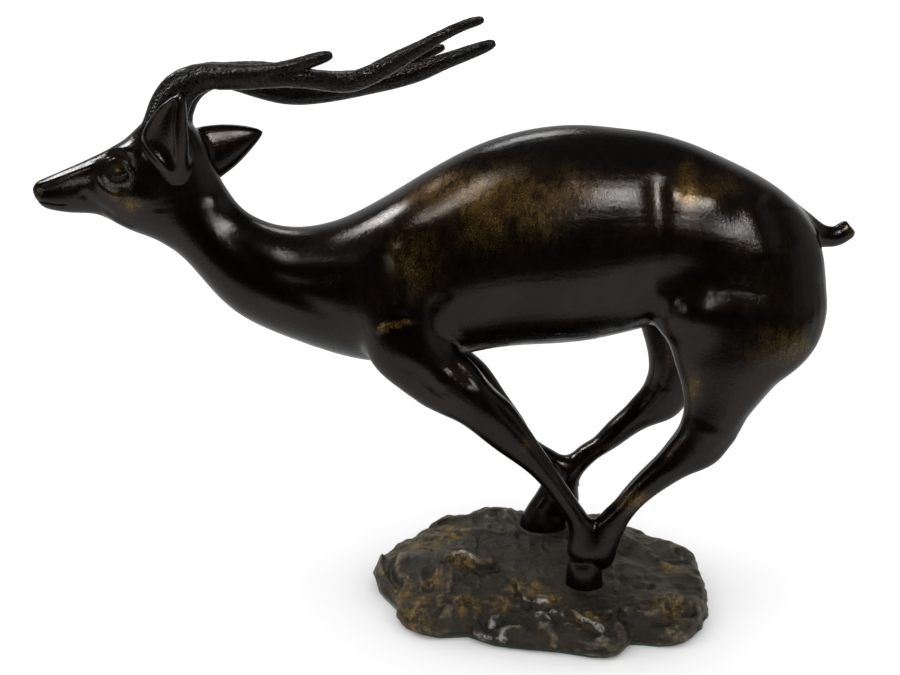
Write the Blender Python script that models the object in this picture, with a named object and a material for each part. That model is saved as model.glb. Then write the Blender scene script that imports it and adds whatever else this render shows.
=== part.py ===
"""Bronze statuette of a running antelope on a rocky base, as the foundry's separate castings.

The animal is cast in sections that meet on flat cuts: torso, neck, head, two antlers, two ears,
four legs and a tail. Spigots, dowels and cross pins line the cuts up. The two hoof pairs are held
by studs, washers and nuts under the hollow base, and a felt sheet covers the base's underside.

Frame: +Z up, the head towards -X, the tail towards +X. The animal's left is -Y. The origin is on
the animal's middle plane, in the middle of the felt's underside.
"""

import math

import bmesh
import bpy
import numpy as np
from mathutils import Vector

MM = 0.001

# Driving dimensions, in millimetres.
GAP = 0.3  # between pieces that touch
FELT_THICK = 1.5
FELT_INSET = 1.5  # from the base's rim
WALL = 3.6  # of the torso and neck castings
BASE_WALL = 3.2
SPIGOT_WALL = 3.0
PIN_RADIUS = 1.5
NECK_PIN_LENGTH = 6.0
HEAD_PIN_LENGTH = 9.5
PIN_SINK = 0.8  # below the skin, where the pin's head is chased over
DOWEL_RADIUS = 2.2
DOWEL_REACH = 8.0  # into each casting
FOOT_DOWEL_REACH = 6.5
STUD_RADIUS = 2.5
STUD_BOTTOM = 3.0
STUD_TOP = 33.0
BOSS_RADIUS = 8.5
BOSS_BOTTOM = 9.3
WASHER_RADIUS = 6.0
WASHER_THICK = 1.0
NUT_ACROSS_FLATS = 8.0
NUT_THICK = 4.0
LEFT_FOOT = (22.0, -33.0)  # the hooves' places on the base
RIGHT_FOOT = (7.0, 33.0)
LEFT_SOLE = 15.5
RIGHT_SOLE = 16.5
LEFT_HEEL = 26.8  # x of the flat cut between the fore foot and the hind foot
RIGHT_HEEL = 18.5
LEFT_SEAT_RADIUS = 10.5
RIGHT_SEAT_RADIUS = 13.5

# The trunk's outline from inside the head to the rump: the back line's x and z, the belly line's
# x and z, and half the width. Each row is one flat cross-section.
TRUNK = [
    (-168, 232, -189, 190, 12),
    (-161, 222.5, -184, 182.5, 13.5),
    (-156.5, 215, -180, 179.5, 14.5),
    (-149, 202.5, -173, 172.5, 15.5),
    (-142, 196, -165, 162.5, 17),
    (-132, 192, -153, 148, 19.5),
    (-121, 190, -138, 139.5, 22.5),
    (-109, 190.5, -122, 133, 26),
    (-97, 195, -104, 127, 29.5),
    (-83, 202, -86, 124, 33),
    (-66, 212, -67, 124, 35),
    (-45, 223.5, -45, 126, 36.5),
    (-20, 234, -20, 130, 37),
    (10, 238.8, 10, 131.5, 37),
    (40, 237, 38, 136.5, 35.5),
    (65, 231.5, 62, 142, 35.5),
    (90.5, 220.5, 87, 144, 37),
    (110, 210, 107, 145, 35.5),
    (124, 199.5, 124, 149, 30),
    (132, 190, 132.5, 158, 20),
    (134.5, 181, 134.5, 167, 8),
]
HEAD_CUT = 2.0  # rows of TRUNK where the castings meet
NECK_CUT = 8.0
CAVITY_END = 17.5
HEAD_SPIGOT_REACH = 0.8  # rows past the cut
NECK_SPIGOT_REACH = 0.6
ROW_GAP = 0.05  # rows between the two cut faces
OVERRUN = 0.5  # rows by which a stub or a bore runs past a face
TRUNK_STEP = 0.6  # rows between two sections of a loft
LIMB_STEP = 0.7
LEG_SIDES = 12

# The head's outline in the same form, from the nose tip to the back of the skull.
SKULL = [
    (-245.3, 208.8, -243.5, 203.5, 2.6),
    (-241, 212.3, -238.5, 199.4, 4.8),
    (-230, 217, -228, 197.8, 6.2),
    (-219, 221.8, -215.5, 196.6, 8.3),
    (-209, 226.5, -205, 191.8, 12),
    (-199.5, 231.5, -195, 187, 15),
    (-191, 238.5, -186, 184, 16),
    (-181, 244, -177, 184, 16),
    (-171, 243.5, -168, 190, 14.5),
    (-163.5, 236, -160.5, 203, 9),
    (-160.5, 229, -159.5, 216, 4),
]

# Limbs run down from inside the trunk. Each row is x, distance from the middle plane, z, half the
# depth in side view, and half the width.
FORELEG = [
    (-60, 20, 178, 20, 11),
    (-66, 24, 156, 19, 12),
    (-63, 28, 138, 17.5, 11.5),
    (-55, 31, 125.5, 14.5, 10.5),
    (-43, 32.5, 117.5, 13, 9.5),
    (-33, 33, 110, 12, 8.5),
    (-23.2, 33, 101.8, 11, 7.8),
    (-14.4, 33, 92.9, 9.2, 6.6),
    (-5.6, 33, 83.2, 6.9, 5.6),
    (3, 33, 72.5, 5.2, 4.9),
    (8.8, 33, 64.3, 4.8, 4.8),
]
LEFT_FORE_FOOT = [
    (15, 33, 53.5, 5.2, 5),
    (18.5, 33, 44, 6, 5.6),
    (20, 33, 35, 6.6, 6.2),
    (21, 33, 29.5, 7.2, 6.8),
    (21.6, 33, 26, 7.8, 7.4),
    (22, 33, LEFT_SOLE - 2, 8.7, 8.5),
]
RIGHT_FORE_FOOT = [
    (15.2, 33, 53.5, 5.2, 5),
    (15.5, 33, 44, 6, 5.6),
    (13.5, 33, 36, 6.8, 6.2),
    (10.5, 33, 29.5, 8, 7),
    (8.5, 33, 25.5, 9.3, 8),
    (7, 33, RIGHT_SOLE - 2, 11.8, 9.2),
]
RIGHT_FORE_SHIFT = -3.5
FORE_CUT = 3.0
FETLOCK_FORE = 12.2  # rows of the whole foreleg and hind leg

HINDLEG = [
    (96, 17, 196, 29, 14),
    (96, 20, 176, 35, 17),
    (93.5, 23, 154, 38, 17.5),
    (92, 25, 141, 34.5, 16),
    (90, 27, 130, 29.5, 14),
    (87, 29, 120, 22.5, 12.5),
    (83.8, 30.5, 110, 18, 11),
    (80, 31.5, 100.5, 15.2, 9.5),
    (74.5, 32, 89, 12.3, 8),
    (66.5, 32.5, 80, 9.8, 7),
]
LEFT_HIND_FOOT = [
    (56, 33, 73.5, 7.9, 6.3),
    (46, 33, 64.5, 6.2, 5.6),
    (40.5, 33, 56.5, 6.2, 5.4),
    (36, 33, 49, 6.2, 5.6),
    (32.5, 33, 41, 6.4, 5.8),
    (30.5, 33, 34, 6.2, 5.8),
    (30.2, 33, 27.5, 5.4, 5.4),
    (30.4, 33, 21, 4.6, 5),
]
RIGHT_HIND_FOOT = [
    (53.5, 33, 75, 7.4, 6.3),
    (41, 33, 67, 6.2, 5.6),
    (32, 33, 59, 6, 5.4),
    (26, 33, 50.5, 6.1, 5.6),
    (23.5, 33, 42, 6.4, 5.8),
    (21.5, 33, 34, 6.2, 5.8),
    (20, 33, 27, 5.6, 5.4),
    (19.5, 33, 21, 4.6, 5),
]
RIGHT_HIND_SHIFT = -2.0
HIND_CUT = 6.6
FETLOCK_HIND = 14.1

TAIL = [
    (118, 0, 190, 8, 6),
    (128, 0, 187, 7.4, 6),
    (138, 0, 185.3, 5.3, 4.6),
    (145, 0, 186.2, 4.6, 3.6),
    (149.5, 0, 188.2, 3, 2.6),
    (151, 0, 189, 1.6, 1.6),
]
TAIL_CUT = 1.8

# Antlers: a stem that leans back from the skull and forks into a short tine and a long beam.
LEFT_STEM = [
    (-177.5, 5, 236, 8.5, 4.4),
    (-174.5, 5.8, 245, 8.5, 4.6),
    (-169.5, 7.5, 254.5, 7.6, 4.8),
    (-161, 9, 260.5, 6.3, 4.6),
    (-150, 10, 262, 5.6, 4.5),
    (-138, 11, 261.8, 4.6, 4.2),
]
LEFT_TINE = [
    (-150, 10.5, 262.5, 4.6, 4),
    (-138, 12, 263.2, 3.9, 3.6),
    (-127, 13, 264.4, 3.6, 3.3),
    (-118, 13.5, 266.3, 3.3, 3.2),
    (-110, 14, 268.6, 3, 2.9),
    (-103, 14, 270.7, 2.6, 2.4),
    (-98.8, 14, 271.8, 1.3, 1.3),
]
LEFT_BEAM = [
    (-150, 9, 260.5, 4.6, 4),
    (-138, 10, 259.8, 4, 3.8),
    (-117, 13, 260.6, 3.6, 4),
    (-98, 14.5, 259.6, 4.7, 4.5),
    (-89, 15, 260.2, 4.6, 4.5),
    (-79, 15.5, 264, 4.4, 4.2),
    (-70, 15.5, 268.8, 4, 3.9),
    (-59.6, 15.5, 274.3, 3.1, 3.1),
    (-39.5, 14.5, 284.4, 2.3, 2.2),
    (-30.6, 14, 287.2, 1.4, 1.4),
]
RIGHT_STEM = [
    (-177, 5, 236, 8.5, 4.4),
    (-173.5, 5.8, 245, 8.5, 4.6),
    (-168, 7.5, 254, 7.4, 4.8),
    (-160, 9, 259.8, 6.2, 4.6),
    (-150, 10, 262, 5.4, 4.5),
    (-138, 11, 262, 4.6, 4.2),
]
RIGHT_TINE = [
    (-150, 11, 263, 4.5, 4),
    (-138, 12, 264.5, 3.8, 3.6),
    (-122, 14, 262.6, 3.5, 3.4),
    (-104, 16, 260.6, 3.4, 3.3),
    (-88, 17, 261.4, 3.4, 3.2),
    (-72, 17.5, 265.2, 3, 2.9),
    (-58, 17.5, 269.9, 2.4, 2.4),
    (-48.2, 17.5, 273.4, 1.4, 1.4),
]
RIGHT_BEAM = [
    (-150, 9, 259.5, 4.6, 4),
    (-138, 10, 255.5, 4.4, 3.9),
    (-124, 11.5, 252.8, 4.3, 3.9),
    (-110, 12, 253, 4.2, 4),
    (-97, 12.5, 255, 4.2, 4.1),
    (-84, 13, 257.8, 4.6, 4.2),
    (-62, 13, 262.8, 4.5, 4),
    (-50, 13, 267, 4, 3.7),
    (-38, 12.5, 271, 3.3, 3.1),
    (-24.8, 12, 275.8, 1.4, 1.4),
]
STEM_CUT = 1.0

LEFT_EAR = [
    (-176, 11, 217, 5, 4),
    (-177, 14, 226, 9, 3.5),
    (-177, 18, 234, 10.5, 3),
    (-174, 20, 243, 8.5, 2.6),
    (-170.5, 21, 250, 5, 2),
    (-168, 21, 254.8, 1.5, 1.2),
]
RIGHT_EAR = [
    (-168, 8, 223, 8, 4),
    (-157, 14, 226, 10.5, 3.5),
    (-150, 17, 228.5, 9, 3),
    (-143.5, 19, 231.5, 5.5, 2.4),
    (-138, 20, 233.5, 1.8, 1.4),
]

# The base's outline on the ground, anticlockwise from the head end's lump as seen from above.
BASE_OUTLINE = [
    (-86, -6), (-81.5, -20), (-74.5, -33), (-69, -51), (-52, -61), (-38, -60),
    (-25, -68.5), (-9, -72), (6, -74.5), (22, -79), (34, -77.5), (42, -67.5),
    (56, -69), (69, -65), (79, -52), (84.5, -32), (84.5, -8), (81.5, 10),
    (70, 34), (54, 48), (35, 57), (12, 62), (-12, 60), (-34, 58),
    (-52, 46), (-68, 30), (-79, 11),
]  # fmt: skip
BASE_CENTRE = (2.0, -6.0)
LUMP_START = 5.0  # heights between which the lumps set in
LUMP_FULL = 12.0
BELOW_BASE = -4.0  # heights where cutters end, clear of the base
ABOVE_BASE = 40.0
# The base's section from the rim inwards: share of the outline's radius, and height.
BASE_SECTION = [
    (0.985, 1.8), (1.01, 5), (1.0, 9.5), (0.95, 12.5), (0.84, 14),
    (0.66, 15.2), (0.45, 16.2), (0.22, 17),
]  # fmt: skip
# Lumps on the base: x, y, height added, radius.
BASE_LUMPS = [
    (-10, 38, 6, 24), (30, 34, 4, 20), (-40, -8, 2.5, 14),
    (62, -48, 3, 12), (-72, -8, 2.5, 10), (22, -33, 1.5, 12),
]  # fmt: skip

BRONZE = (0.030, 0.022, 0.016)
BASE_BRONZE = (0.045, 0.038, 0.028)
DOWEL_BRONZE = (0.45, 0.28, 0.12)
STEEL = (0.55, 0.55, 0.56)
FELT_GREEN = (0.012, 0.045, 0.026)


def clear_scene():
    for obj in list(bpy.data.objects):
        bpy.data.objects.remove(obj, do_unlink=True)


def add_collection(name):
    collection = bpy.data.collections.new(name)
    bpy.context.scene.collection.children.link(collection)
    return collection


def add_material(name, colour, roughness, metallic):
    material = bpy.data.materials.new(name)
    material.use_nodes = True
    shader = material.node_tree.nodes["Principled BSDF"]
    shader.inputs["Base Color"].default_value = (*colour, 1)
    shader.inputs["Roughness"].default_value = roughness
    shader.inputs["Metallic"].default_value = metallic
    return material


def at_row(rows, place):
    """The row at a fractional place, on a Catmull-Rom curve through the rows."""
    rows = np.array(rows, float)
    place = min(max(place, 0.0), len(rows) - 1.0)
    start = min(int(place), len(rows) - 2)
    part = place - start
    before = rows[max(start - 1, 0)]
    here, ahead = rows[start], rows[start + 1]
    after = rows[min(start + 2, len(rows) - 1)]
    slope_here, slope_ahead = (ahead - before) / 2, (after - here) / 2
    return (
        here * (1 - part) ** 2 * (1 + 2 * part)
        + slope_here * part * (1 - part) ** 2
        + ahead * part**2 * (3 - 2 * part)
        - slope_ahead * part**2 * (1 - part)
    )


def places(start, end, step):
    count = max(2, math.ceil((end - start) / step) + 1)
    return np.linspace(start, end, count)


def section_ring(row, sides, inset):
    """A trunk or skull cross-section, standing on its back point and its belly point."""
    top = Vector((row[0], 0, row[1]))
    bottom = Vector((row[2], 0, row[3]))
    middle = (top + bottom) / 2
    up = (top - bottom) / 2
    half_height = up.length - inset
    half_width = row[4] - inset
    ring = []
    for k in range(sides):
        angle = math.tau * k / sides
        rise = up.normalized() * (math.cos(angle) * half_height)
        ring.append(middle + rise + Vector((0, math.sin(angle) * half_width, 0)))
    return ring


def limb_ring(rows, place, side, sides, inset):
    """A limb's cross-section, square to the limb's own line."""
    x, out, z, half_depth, half_width = at_row(rows, place)
    ahead, behind = at_row(rows, place + 0.01), at_row(rows, place - 0.01)
    run = Vector((ahead[0] - behind[0], side * (ahead[1] - behind[1]), ahead[2] - behind[2]))
    across = Vector((0, 1, 0))
    deep = run.normalized().cross(across).normalized()
    across = deep.cross(run.normalized()).normalized()
    centre = Vector((x, side * out, z))
    ring = []
    for k in range(sides):
        angle = math.tau * k / sides
        depth = deep * (math.cos(angle) * (half_depth - inset))
        ring.append(centre + depth + across * (math.sin(angle) * (half_width - inset)))
    return ring


def loft(name, rings, collection, material=None):
    """A closed solid through the rings, with a flat face over each end."""
    shape = bmesh.new()
    made = [[shape.verts.new(point * MM) for point in ring] for ring in rings]
    for first, second in zip(made, made[1:]):
        for k in range(len(first)):
            n = (k + 1) % len(first)
            shape.faces.new((first[k], first[n], second[n], second[k]))
    shape.faces.new(made[0])
    shape.faces.new(made[-1])
    bmesh.ops.recalc_face_normals(shape, faces=shape.faces)
    return add_object(name, shape, collection, material)


def add_object(name, shape, collection, material=None):
    mesh = bpy.data.meshes.new(name)
    shape.to_mesh(mesh)
    shape.free()
    mesh.shade_smooth()
    mesh.set_sharp_from_angle(angle=math.radians(40))
    obj = bpy.data.objects.new(name, mesh)
    collection.objects.link(obj)
    if material:
        mesh.materials.append(material)
    if collection.name == "cutters":
        obj.hide_render = True
        obj.display_type = "WIRE"
    return obj


def section_loft(name, rows, start, end, step, sides, collection, material=None, inset=0.0):
    rings = [section_ring(at_row(rows, p), sides, inset) for p in places(start, end, step)]
    return loft(name, rings, collection, material)


def limb_loft(name, rows, start, end, side, sides, collection, material=None, inset=0.0, step=0.5):
    rings = [limb_ring(rows, p, side, sides, inset) for p in places(start, end, step)]
    return loft(name, rings, collection, material)


def cylinder(name, start, end, radius, collection, material=None, sides=16):
    """A round bar between two points."""
    start, end = Vector(start), Vector(end)
    shape = bmesh.new()
    bmesh.ops.create_cone(
        shape, cap_ends=True, segments=sides, radius1=radius * MM, radius2=radius * MM,
        depth=(end - start).length * MM,
    )  # fmt: skip
    turn = (end - start).to_track_quat("Z", "Y").to_matrix().to_4x4()
    bmesh.ops.transform(shape, matrix=turn, verts=shape.verts)
    obj = add_object(name, shape, collection, material)
    obj.location = (start + end) / 2 * MM
    return obj


def half_space(name, point, normal, collection):
    """A block whose flat face goes through the point and which fills the side the normal shows."""
    size = 260.0
    shape = bmesh.new()
    bmesh.ops.create_cube(shape, size=size * MM)
    direction = Vector(normal).normalized()
    turn = direction.to_track_quat("Z", "Y").to_matrix().to_4x4()
    bmesh.ops.transform(shape, matrix=turn, verts=shape.verts)
    obj = add_object(name, shape, collection)
    obj.location = (Vector(point) + direction * (size / 2)) * MM
    return obj


def combine(piece, other, operation):
    modifier = piece.modifiers.new(f"{operation.lower()} {other.name}", "BOOLEAN")
    modifier.operation = operation
    modifier.solver = "EXACT"
    modifier.object = other


def cut_line(rows, cut, side):
    """The middle of a limb's cut face and the limb's direction there."""
    here = at_row(rows, cut)
    ahead = at_row(rows, cut + 0.01)
    centre = Vector((here[0], side * here[1], here[2]))
    onward = Vector((ahead[0], side * ahead[1], ahead[2]))
    return centre, (onward - centre).normalized()


def shifted(rows, shift):
    return [(row[0] + shift, *row[1:]) for row in rows]


def add_dowel(name, centre, direction, reach, pieces, parts, cutters, material, radius=DOWEL_RADIUS):
    """A dowel across a cut, and its blind hole in each piece."""
    cylinder(
        name, centre - direction * reach, centre + direction * reach, radius, parts, material, 12
    )
    hole = cylinder(
        f"{name}_hole", centre - direction * (reach + GAP), centre + direction * (reach + GAP),
        radius + GAP, cutters, None, 12,
    )  # fmt: skip
    for piece in pieces:
        combine(piece, hole, "DIFFERENCE")


def build_torso(parts, cutters, bronze):
    torso = section_loft(
        "torso_shell", TRUNK, NECK_CUT, len(TRUNK) - 1, TRUNK_STEP, 24, parts, bronze
    )
    for side, name in ((-1, "left"), (1, "right")):
        thigh_rows = HINDLEG + LEFT_HIND_FOOT
        thigh_rows = thigh_rows if side < 0 else shifted(thigh_rows, RIGHT_HIND_SHIFT)
        shoulder_rows = FORELEG if side < 0 else shifted(FORELEG, RIGHT_FORE_SHIFT)
        thigh = limb_loft(f"thigh_{name}", thigh_rows, 0, HIND_CUT, side, 14, cutters)
        shoulder = limb_loft(f"shoulder_{name}", shoulder_rows, 0, FORE_CUT, side, 12, cutters)
        combine(torso, thigh, "UNION")
        combine(torso, shoulder, "UNION")
    tail_root = limb_loft("tail_root", TAIL, 0, TAIL_CUT, 1, 12, cutters)
    combine(torso, tail_root, "UNION")
    # The hollow runs out through the neck's cut face.
    hollow = section_loft(
        "torso_hollow", TRUNK, NECK_CUT - OVERRUN, CAVITY_END, TRUNK_STEP, 16, cutters,
        inset=WALL,
    )  # fmt: skip
    combine(torso, hollow, "DIFFERENCE")
    return torso


def build_neck(parts, cutters, bronze):
    neck = section_loft(
        "neck_shell", TRUNK, HEAD_CUT + ROW_GAP, NECK_CUT - ROW_GAP, TRUNK_STEP, 20, parts, bronze
    )
    # The spigot is a stub of the torso's hollow, cast in one with the neck.
    spigot_end = NECK_CUT + NECK_SPIGOT_REACH
    spigot = section_loft(
        "neck_spigot", TRUNK, NECK_CUT - OVERRUN, spigot_end, TRUNK_STEP, 16, cutters,
        inset=WALL + GAP,
    )  # fmt: skip
    combine(neck, spigot, "UNION")
    bore = section_loft(
        "neck_bore", TRUNK, HEAD_CUT - OVERRUN, spigot_end + OVERRUN, TRUNK_STEP, 14, cutters,
        inset=WALL + GAP + SPIGOT_WALL,
    )  # fmt: skip
    combine(neck, bore, "DIFFERENCE")
    return neck


def build_head(parts, cutters, bronze):
    head = section_loft("head_casting", SKULL, 0, len(SKULL) - 1, LIMB_STEP, 16, parts, bronze)
    nape = section_loft("nape", TRUNK, 0, HEAD_CUT, TRUNK_STEP, 20, cutters)
    combine(head, nape, "UNION")
    cut = at_row(TRUNK, HEAD_CUT)
    top, bottom = Vector((cut[0], 0, cut[1])), Vector((cut[2], 0, cut[3]))
    towards_neck = (top - bottom).cross(Vector((0, -1, 0))).normalized()
    behind = half_space("behind_head", top, towards_neck, cutters)
    combine(head, behind, "DIFFERENCE")
    spigot = section_loft(
        "head_spigot", TRUNK, HEAD_CUT - OVERRUN, HEAD_CUT + HEAD_SPIGOT_REACH, LIMB_STEP, 12, cutters,
        inset=WALL + 2 * GAP + SPIGOT_WALL,
    )  # fmt: skip
    combine(head, spigot, "UNION")
    return head


def build_leg(name, rows, cut, side, parts, bronze, grow=0.0):
    per_row = Vector(at_row(rows, cut + OVERRUN)[:3] - at_row(rows, cut)[:3]).length / OVERRUN
    start = cut + GAP / per_row
    return limb_loft(
        name, rows, start, len(rows) - 1, side, LEG_SIDES, parts, bronze, -grow, LIMB_STEP
    )


def foot_dowel_line(fore_rows, hind_rows, side):
    """The dowel that ties the hind foot to the fore foot runs level through both fetlocks."""
    fore, hind = at_row(fore_rows, FETLOCK_FORE), at_row(hind_rows, FETLOCK_HIND)
    centre = Vector(((fore[0] + hind[0]) / 2, side * fore[1], (fore[2] + hind[2]) / 2))
    return centre, Vector((1, 0, 0))


def build_antler(name, stem_rows, tine_rows, beam_rows, side, parts, cutters, bronze):
    antler = build_leg(name, stem_rows, STEM_CUT, side, parts, bronze)
    for branch, rows in (("tine", tine_rows), ("beam", beam_rows)):
        prong = limb_loft(
            f"{name}_{branch}", rows, 0, len(rows) - 1, side, 8, cutters, step=LIMB_STEP
        )
        combine(antler, prong, "UNION")
    return antler


def build_crown(head, parts, cutters, bronze, dowel_bronze):
    """The antlers stand on stubs of the head casting, and the ears are fitted to its skin."""
    skull = section_loft(
        "skull_grown", SKULL, 0, len(SKULL) - 1, LIMB_STEP, 16, cutters, inset=-GAP
    )
    nape = section_loft("nape_grown", TRUNK, 0, HEAD_CUT + 1, TRUNK_STEP, 20, cutters, inset=-GAP)
    crown = (
        ("left", -1, LEFT_STEM, LEFT_TINE, LEFT_BEAM, LEFT_EAR),
        ("right", 1, RIGHT_STEM, RIGHT_TINE, RIGHT_BEAM, RIGHT_EAR),
    )
    for name, side, stem_rows, tine_rows, beam_rows, ear_rows in crown:
        stub = limb_loft(f"stem_stub_{name}", stem_rows, 0, STEM_CUT, side, LEG_SIDES, cutters)
        combine(head, stub, "UNION")
        antler = build_antler(
            f"antler_{name}", stem_rows, tine_rows, beam_rows, side, parts, cutters, bronze
        )
        centre, direction = cut_line(stem_rows, STEM_CUT, side)
        add_dowel(
            f"antler_dowel_{name}", centre, direction, DOWEL_REACH, (head, antler), parts, cutters,
            dowel_bronze,
        )  # fmt: skip
        ear = limb_loft(
            f"ear_{name}", ear_rows, 0, len(ear_rows) - 1, side, LEG_SIDES, parts, bronze
        )
        stem = limb_loft(
            f"stem_grown_{name}", stem_rows, 0, len(stem_rows) - 1, side, LEG_SIDES, cutters,
            inset=-GAP,
        )
        for neighbour in (skull, nape, stem):
            combine(ear, neighbour, "DIFFERENCE")


def build_tail(torso, parts, cutters, bronze, dowel_bronze):
    tail = build_leg("tail_casting", TAIL, TAIL_CUT, 1, parts, bronze)
    centre, direction = cut_line(TAIL, TAIL_CUT, 1)
    add_dowel(
        "tail_dowel", centre, direction, DOWEL_REACH, (torso, tail), parts, cutters, dowel_bronze,
        PIN_RADIUS,
    )  # fmt: skip


def build_cross_pins(torso, neck, head, parts, cutters, dowel_bronze):
    """Pins across the spigots, one on each side of the neck at each of its ends."""
    joints = (
        ("neck_pin", NECK_CUT + NECK_SPIGOT_REACH / 2, NECK_PIN_LENGTH, torso, neck),
        ("head_pin", HEAD_CUT + HEAD_SPIGOT_REACH / 2, HEAD_PIN_LENGTH, neck, head),
    )
    for name, place, length, outer, inner in joints:
        row = at_row(TRUNK, place)
        x, z = (row[0] + row[2]) / 2, (row[1] + row[3]) / 2
        for side_name, side in (("left", -1), ("right", 1)):
            wall = row[4] - PIN_SINK
            centre = Vector((x, side * (wall - length / 2), z))
            add_dowel(
                f"{name}_{side_name}", centre, Vector((0, side, 0)), length / 2,
                (outer, inner), parts, cutters, dowel_bronze, PIN_RADIUS,
            )  # fmt: skip


def base_height(x, y):
    lumps = 0.0
    for cx, cy, height, radius in BASE_LUMPS:
        lumps += height * math.exp(-((x - cx) ** 2 + (y - cy) ** 2) / radius**2)
    return lumps


def base_solid(name, collection, wall, floor, material=None):
    """The rocky mound as a closed solid. A wall above zero gives the hollow inside it."""
    per_point = 1 if wall else 2
    outline = [at_loop(BASE_OUTLINE, k / per_point) for k in range(per_point * len(BASE_OUTLINE))]
    rings = []
    for share, height in BASE_SECTION:
        ring = []
        for x, y in outline:
            run = Vector((x - BASE_CENTRE[0], y - BASE_CENTRE[1], 0))
            run = run * share - run.normalized() * wall
            point = run + Vector((*BASE_CENTRE, 0))
            share_of_lumps = (height - LUMP_START) / (LUMP_FULL - LUMP_START)
            rise = base_height(point.x, point.y) * min(1.0, max(0.0, share_of_lumps))
            point.z = max(height + rise - wall, floor) if height >= LUMP_START else floor
            ring.append(point)
        rings.append(ring)
    return loft(name, rings, collection, material)


def at_loop(points, place):
    """A closed Catmull-Rom curve through the points."""
    count = len(points)
    start = int(place) % count
    part = place - int(place)
    four = [np.array(points[(start + k) % count], float) for k in (-1, 0, 1, 2)]
    slope_here, slope_ahead = (four[2] - four[0]) / 2, (four[3] - four[1]) / 2
    return (
        four[1] * (1 - part) ** 2 * (1 + 2 * part)
        + slope_here * part * (1 - part) ** 2
        + four[2] * part**2 * (3 - 2 * part)
        - slope_ahead * part**2 * (1 - part)
    )


def build_base(parts, cutters, material):
    base = base_solid("base_shell", parts, 0.0, FELT_THICK + GAP, material)
    hollow = base_solid("base_hollow", cutters, BASE_WALL, BELOW_BASE)
    for foot, name in ((LEFT_FOOT, "left"), (RIGHT_FOOT, "right")):
        boss = cylinder(
            f"boss_{name}", (*foot, BOSS_BOTTOM), (*foot, ABOVE_BASE), BOSS_RADIUS, cutters, None, 20
        )
        combine(hollow, boss, "DIFFERENCE")
    combine(base, hollow, "DIFFERENCE")
    seats = ((LEFT_FOOT, LEFT_SOLE, LEFT_SEAT_RADIUS), (RIGHT_FOOT, RIGHT_SOLE, RIGHT_SEAT_RADIUS))
    for k, (foot, sole, radius) in enumerate(seats):
        seat = cylinder(
            f"seat_{k}", (*foot, sole - GAP), (*foot, ABOVE_BASE), radius, cutters, None, 24
        )
        bore = cylinder(
            f"stud_bore_{k}", (*foot, BELOW_BASE), (*foot, ABOVE_BASE), STUD_RADIUS + GAP, cutters
        )
        combine(base, seat, "DIFFERENCE")
        combine(base, bore, "DIFFERENCE")


def build_felt(parts, material):
    """The felt is the base's outline, drawn in a little and given its thickness."""
    curve = bpy.data.curves.new("felt_outline", "CURVE")
    curve.dimensions = "2D"
    curve.fill_mode = "BOTH"
    curve.extrude = FELT_THICK / 2 * MM
    spline = curve.splines.new("POLY")
    count = 2 * len(BASE_OUTLINE)
    spline.points.add(count - 1)
    for k in range(count):
        x, y = at_loop(BASE_OUTLINE, k / 2)
        run = Vector((x - BASE_CENTRE[0], y - BASE_CENTRE[1]))
        run = run * BASE_SECTION[0][0] - run.normalized() * FELT_INSET
        point = (run + Vector(BASE_CENTRE)) * MM
        spline.points[k].co = (point.x, point.y, 0, 1)
    spline.use_cyclic_u = True
    felt = bpy.data.objects.new("felt_sheet", curve)
    felt.location.z = FELT_THICK / 2 * MM
    curve.materials.append(material)
    parts.objects.link(felt)


def build_fastener(name, foot, parts, cutters, steel):
    """The stud that stands in a hoof, with its washer and nut inside the base."""
    hole = cylinder(
        f"fastener_hole_{name}", (*foot, BELOW_BASE), (*foot, ABOVE_BASE), STUD_RADIUS + GAP,
        cutters, None, 20,
    )  # fmt: skip
    cylinder(
        f"base_stud_{name}", (*foot, STUD_BOTTOM), (*foot, STUD_TOP), STUD_RADIUS, parts, steel, 16
    )
    washer_top = BOSS_BOTTOM - GAP
    washer = cylinder(
        f"base_washer_{name}", (*foot, washer_top - WASHER_THICK), (*foot, washer_top),
        WASHER_RADIUS, parts, steel, 24,
    )  # fmt: skip
    combine(washer, hole, "DIFFERENCE")
    nut_top = washer_top - WASHER_THICK - GAP
    nut = cylinder(
        f"base_nut_{name}", (*foot, nut_top - NUT_THICK), (*foot, nut_top),
        NUT_ACROSS_FLATS / math.sqrt(3), parts, steel, 6,
    )  # fmt: skip
    combine(nut, hole, "DIFFERENCE")


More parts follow.
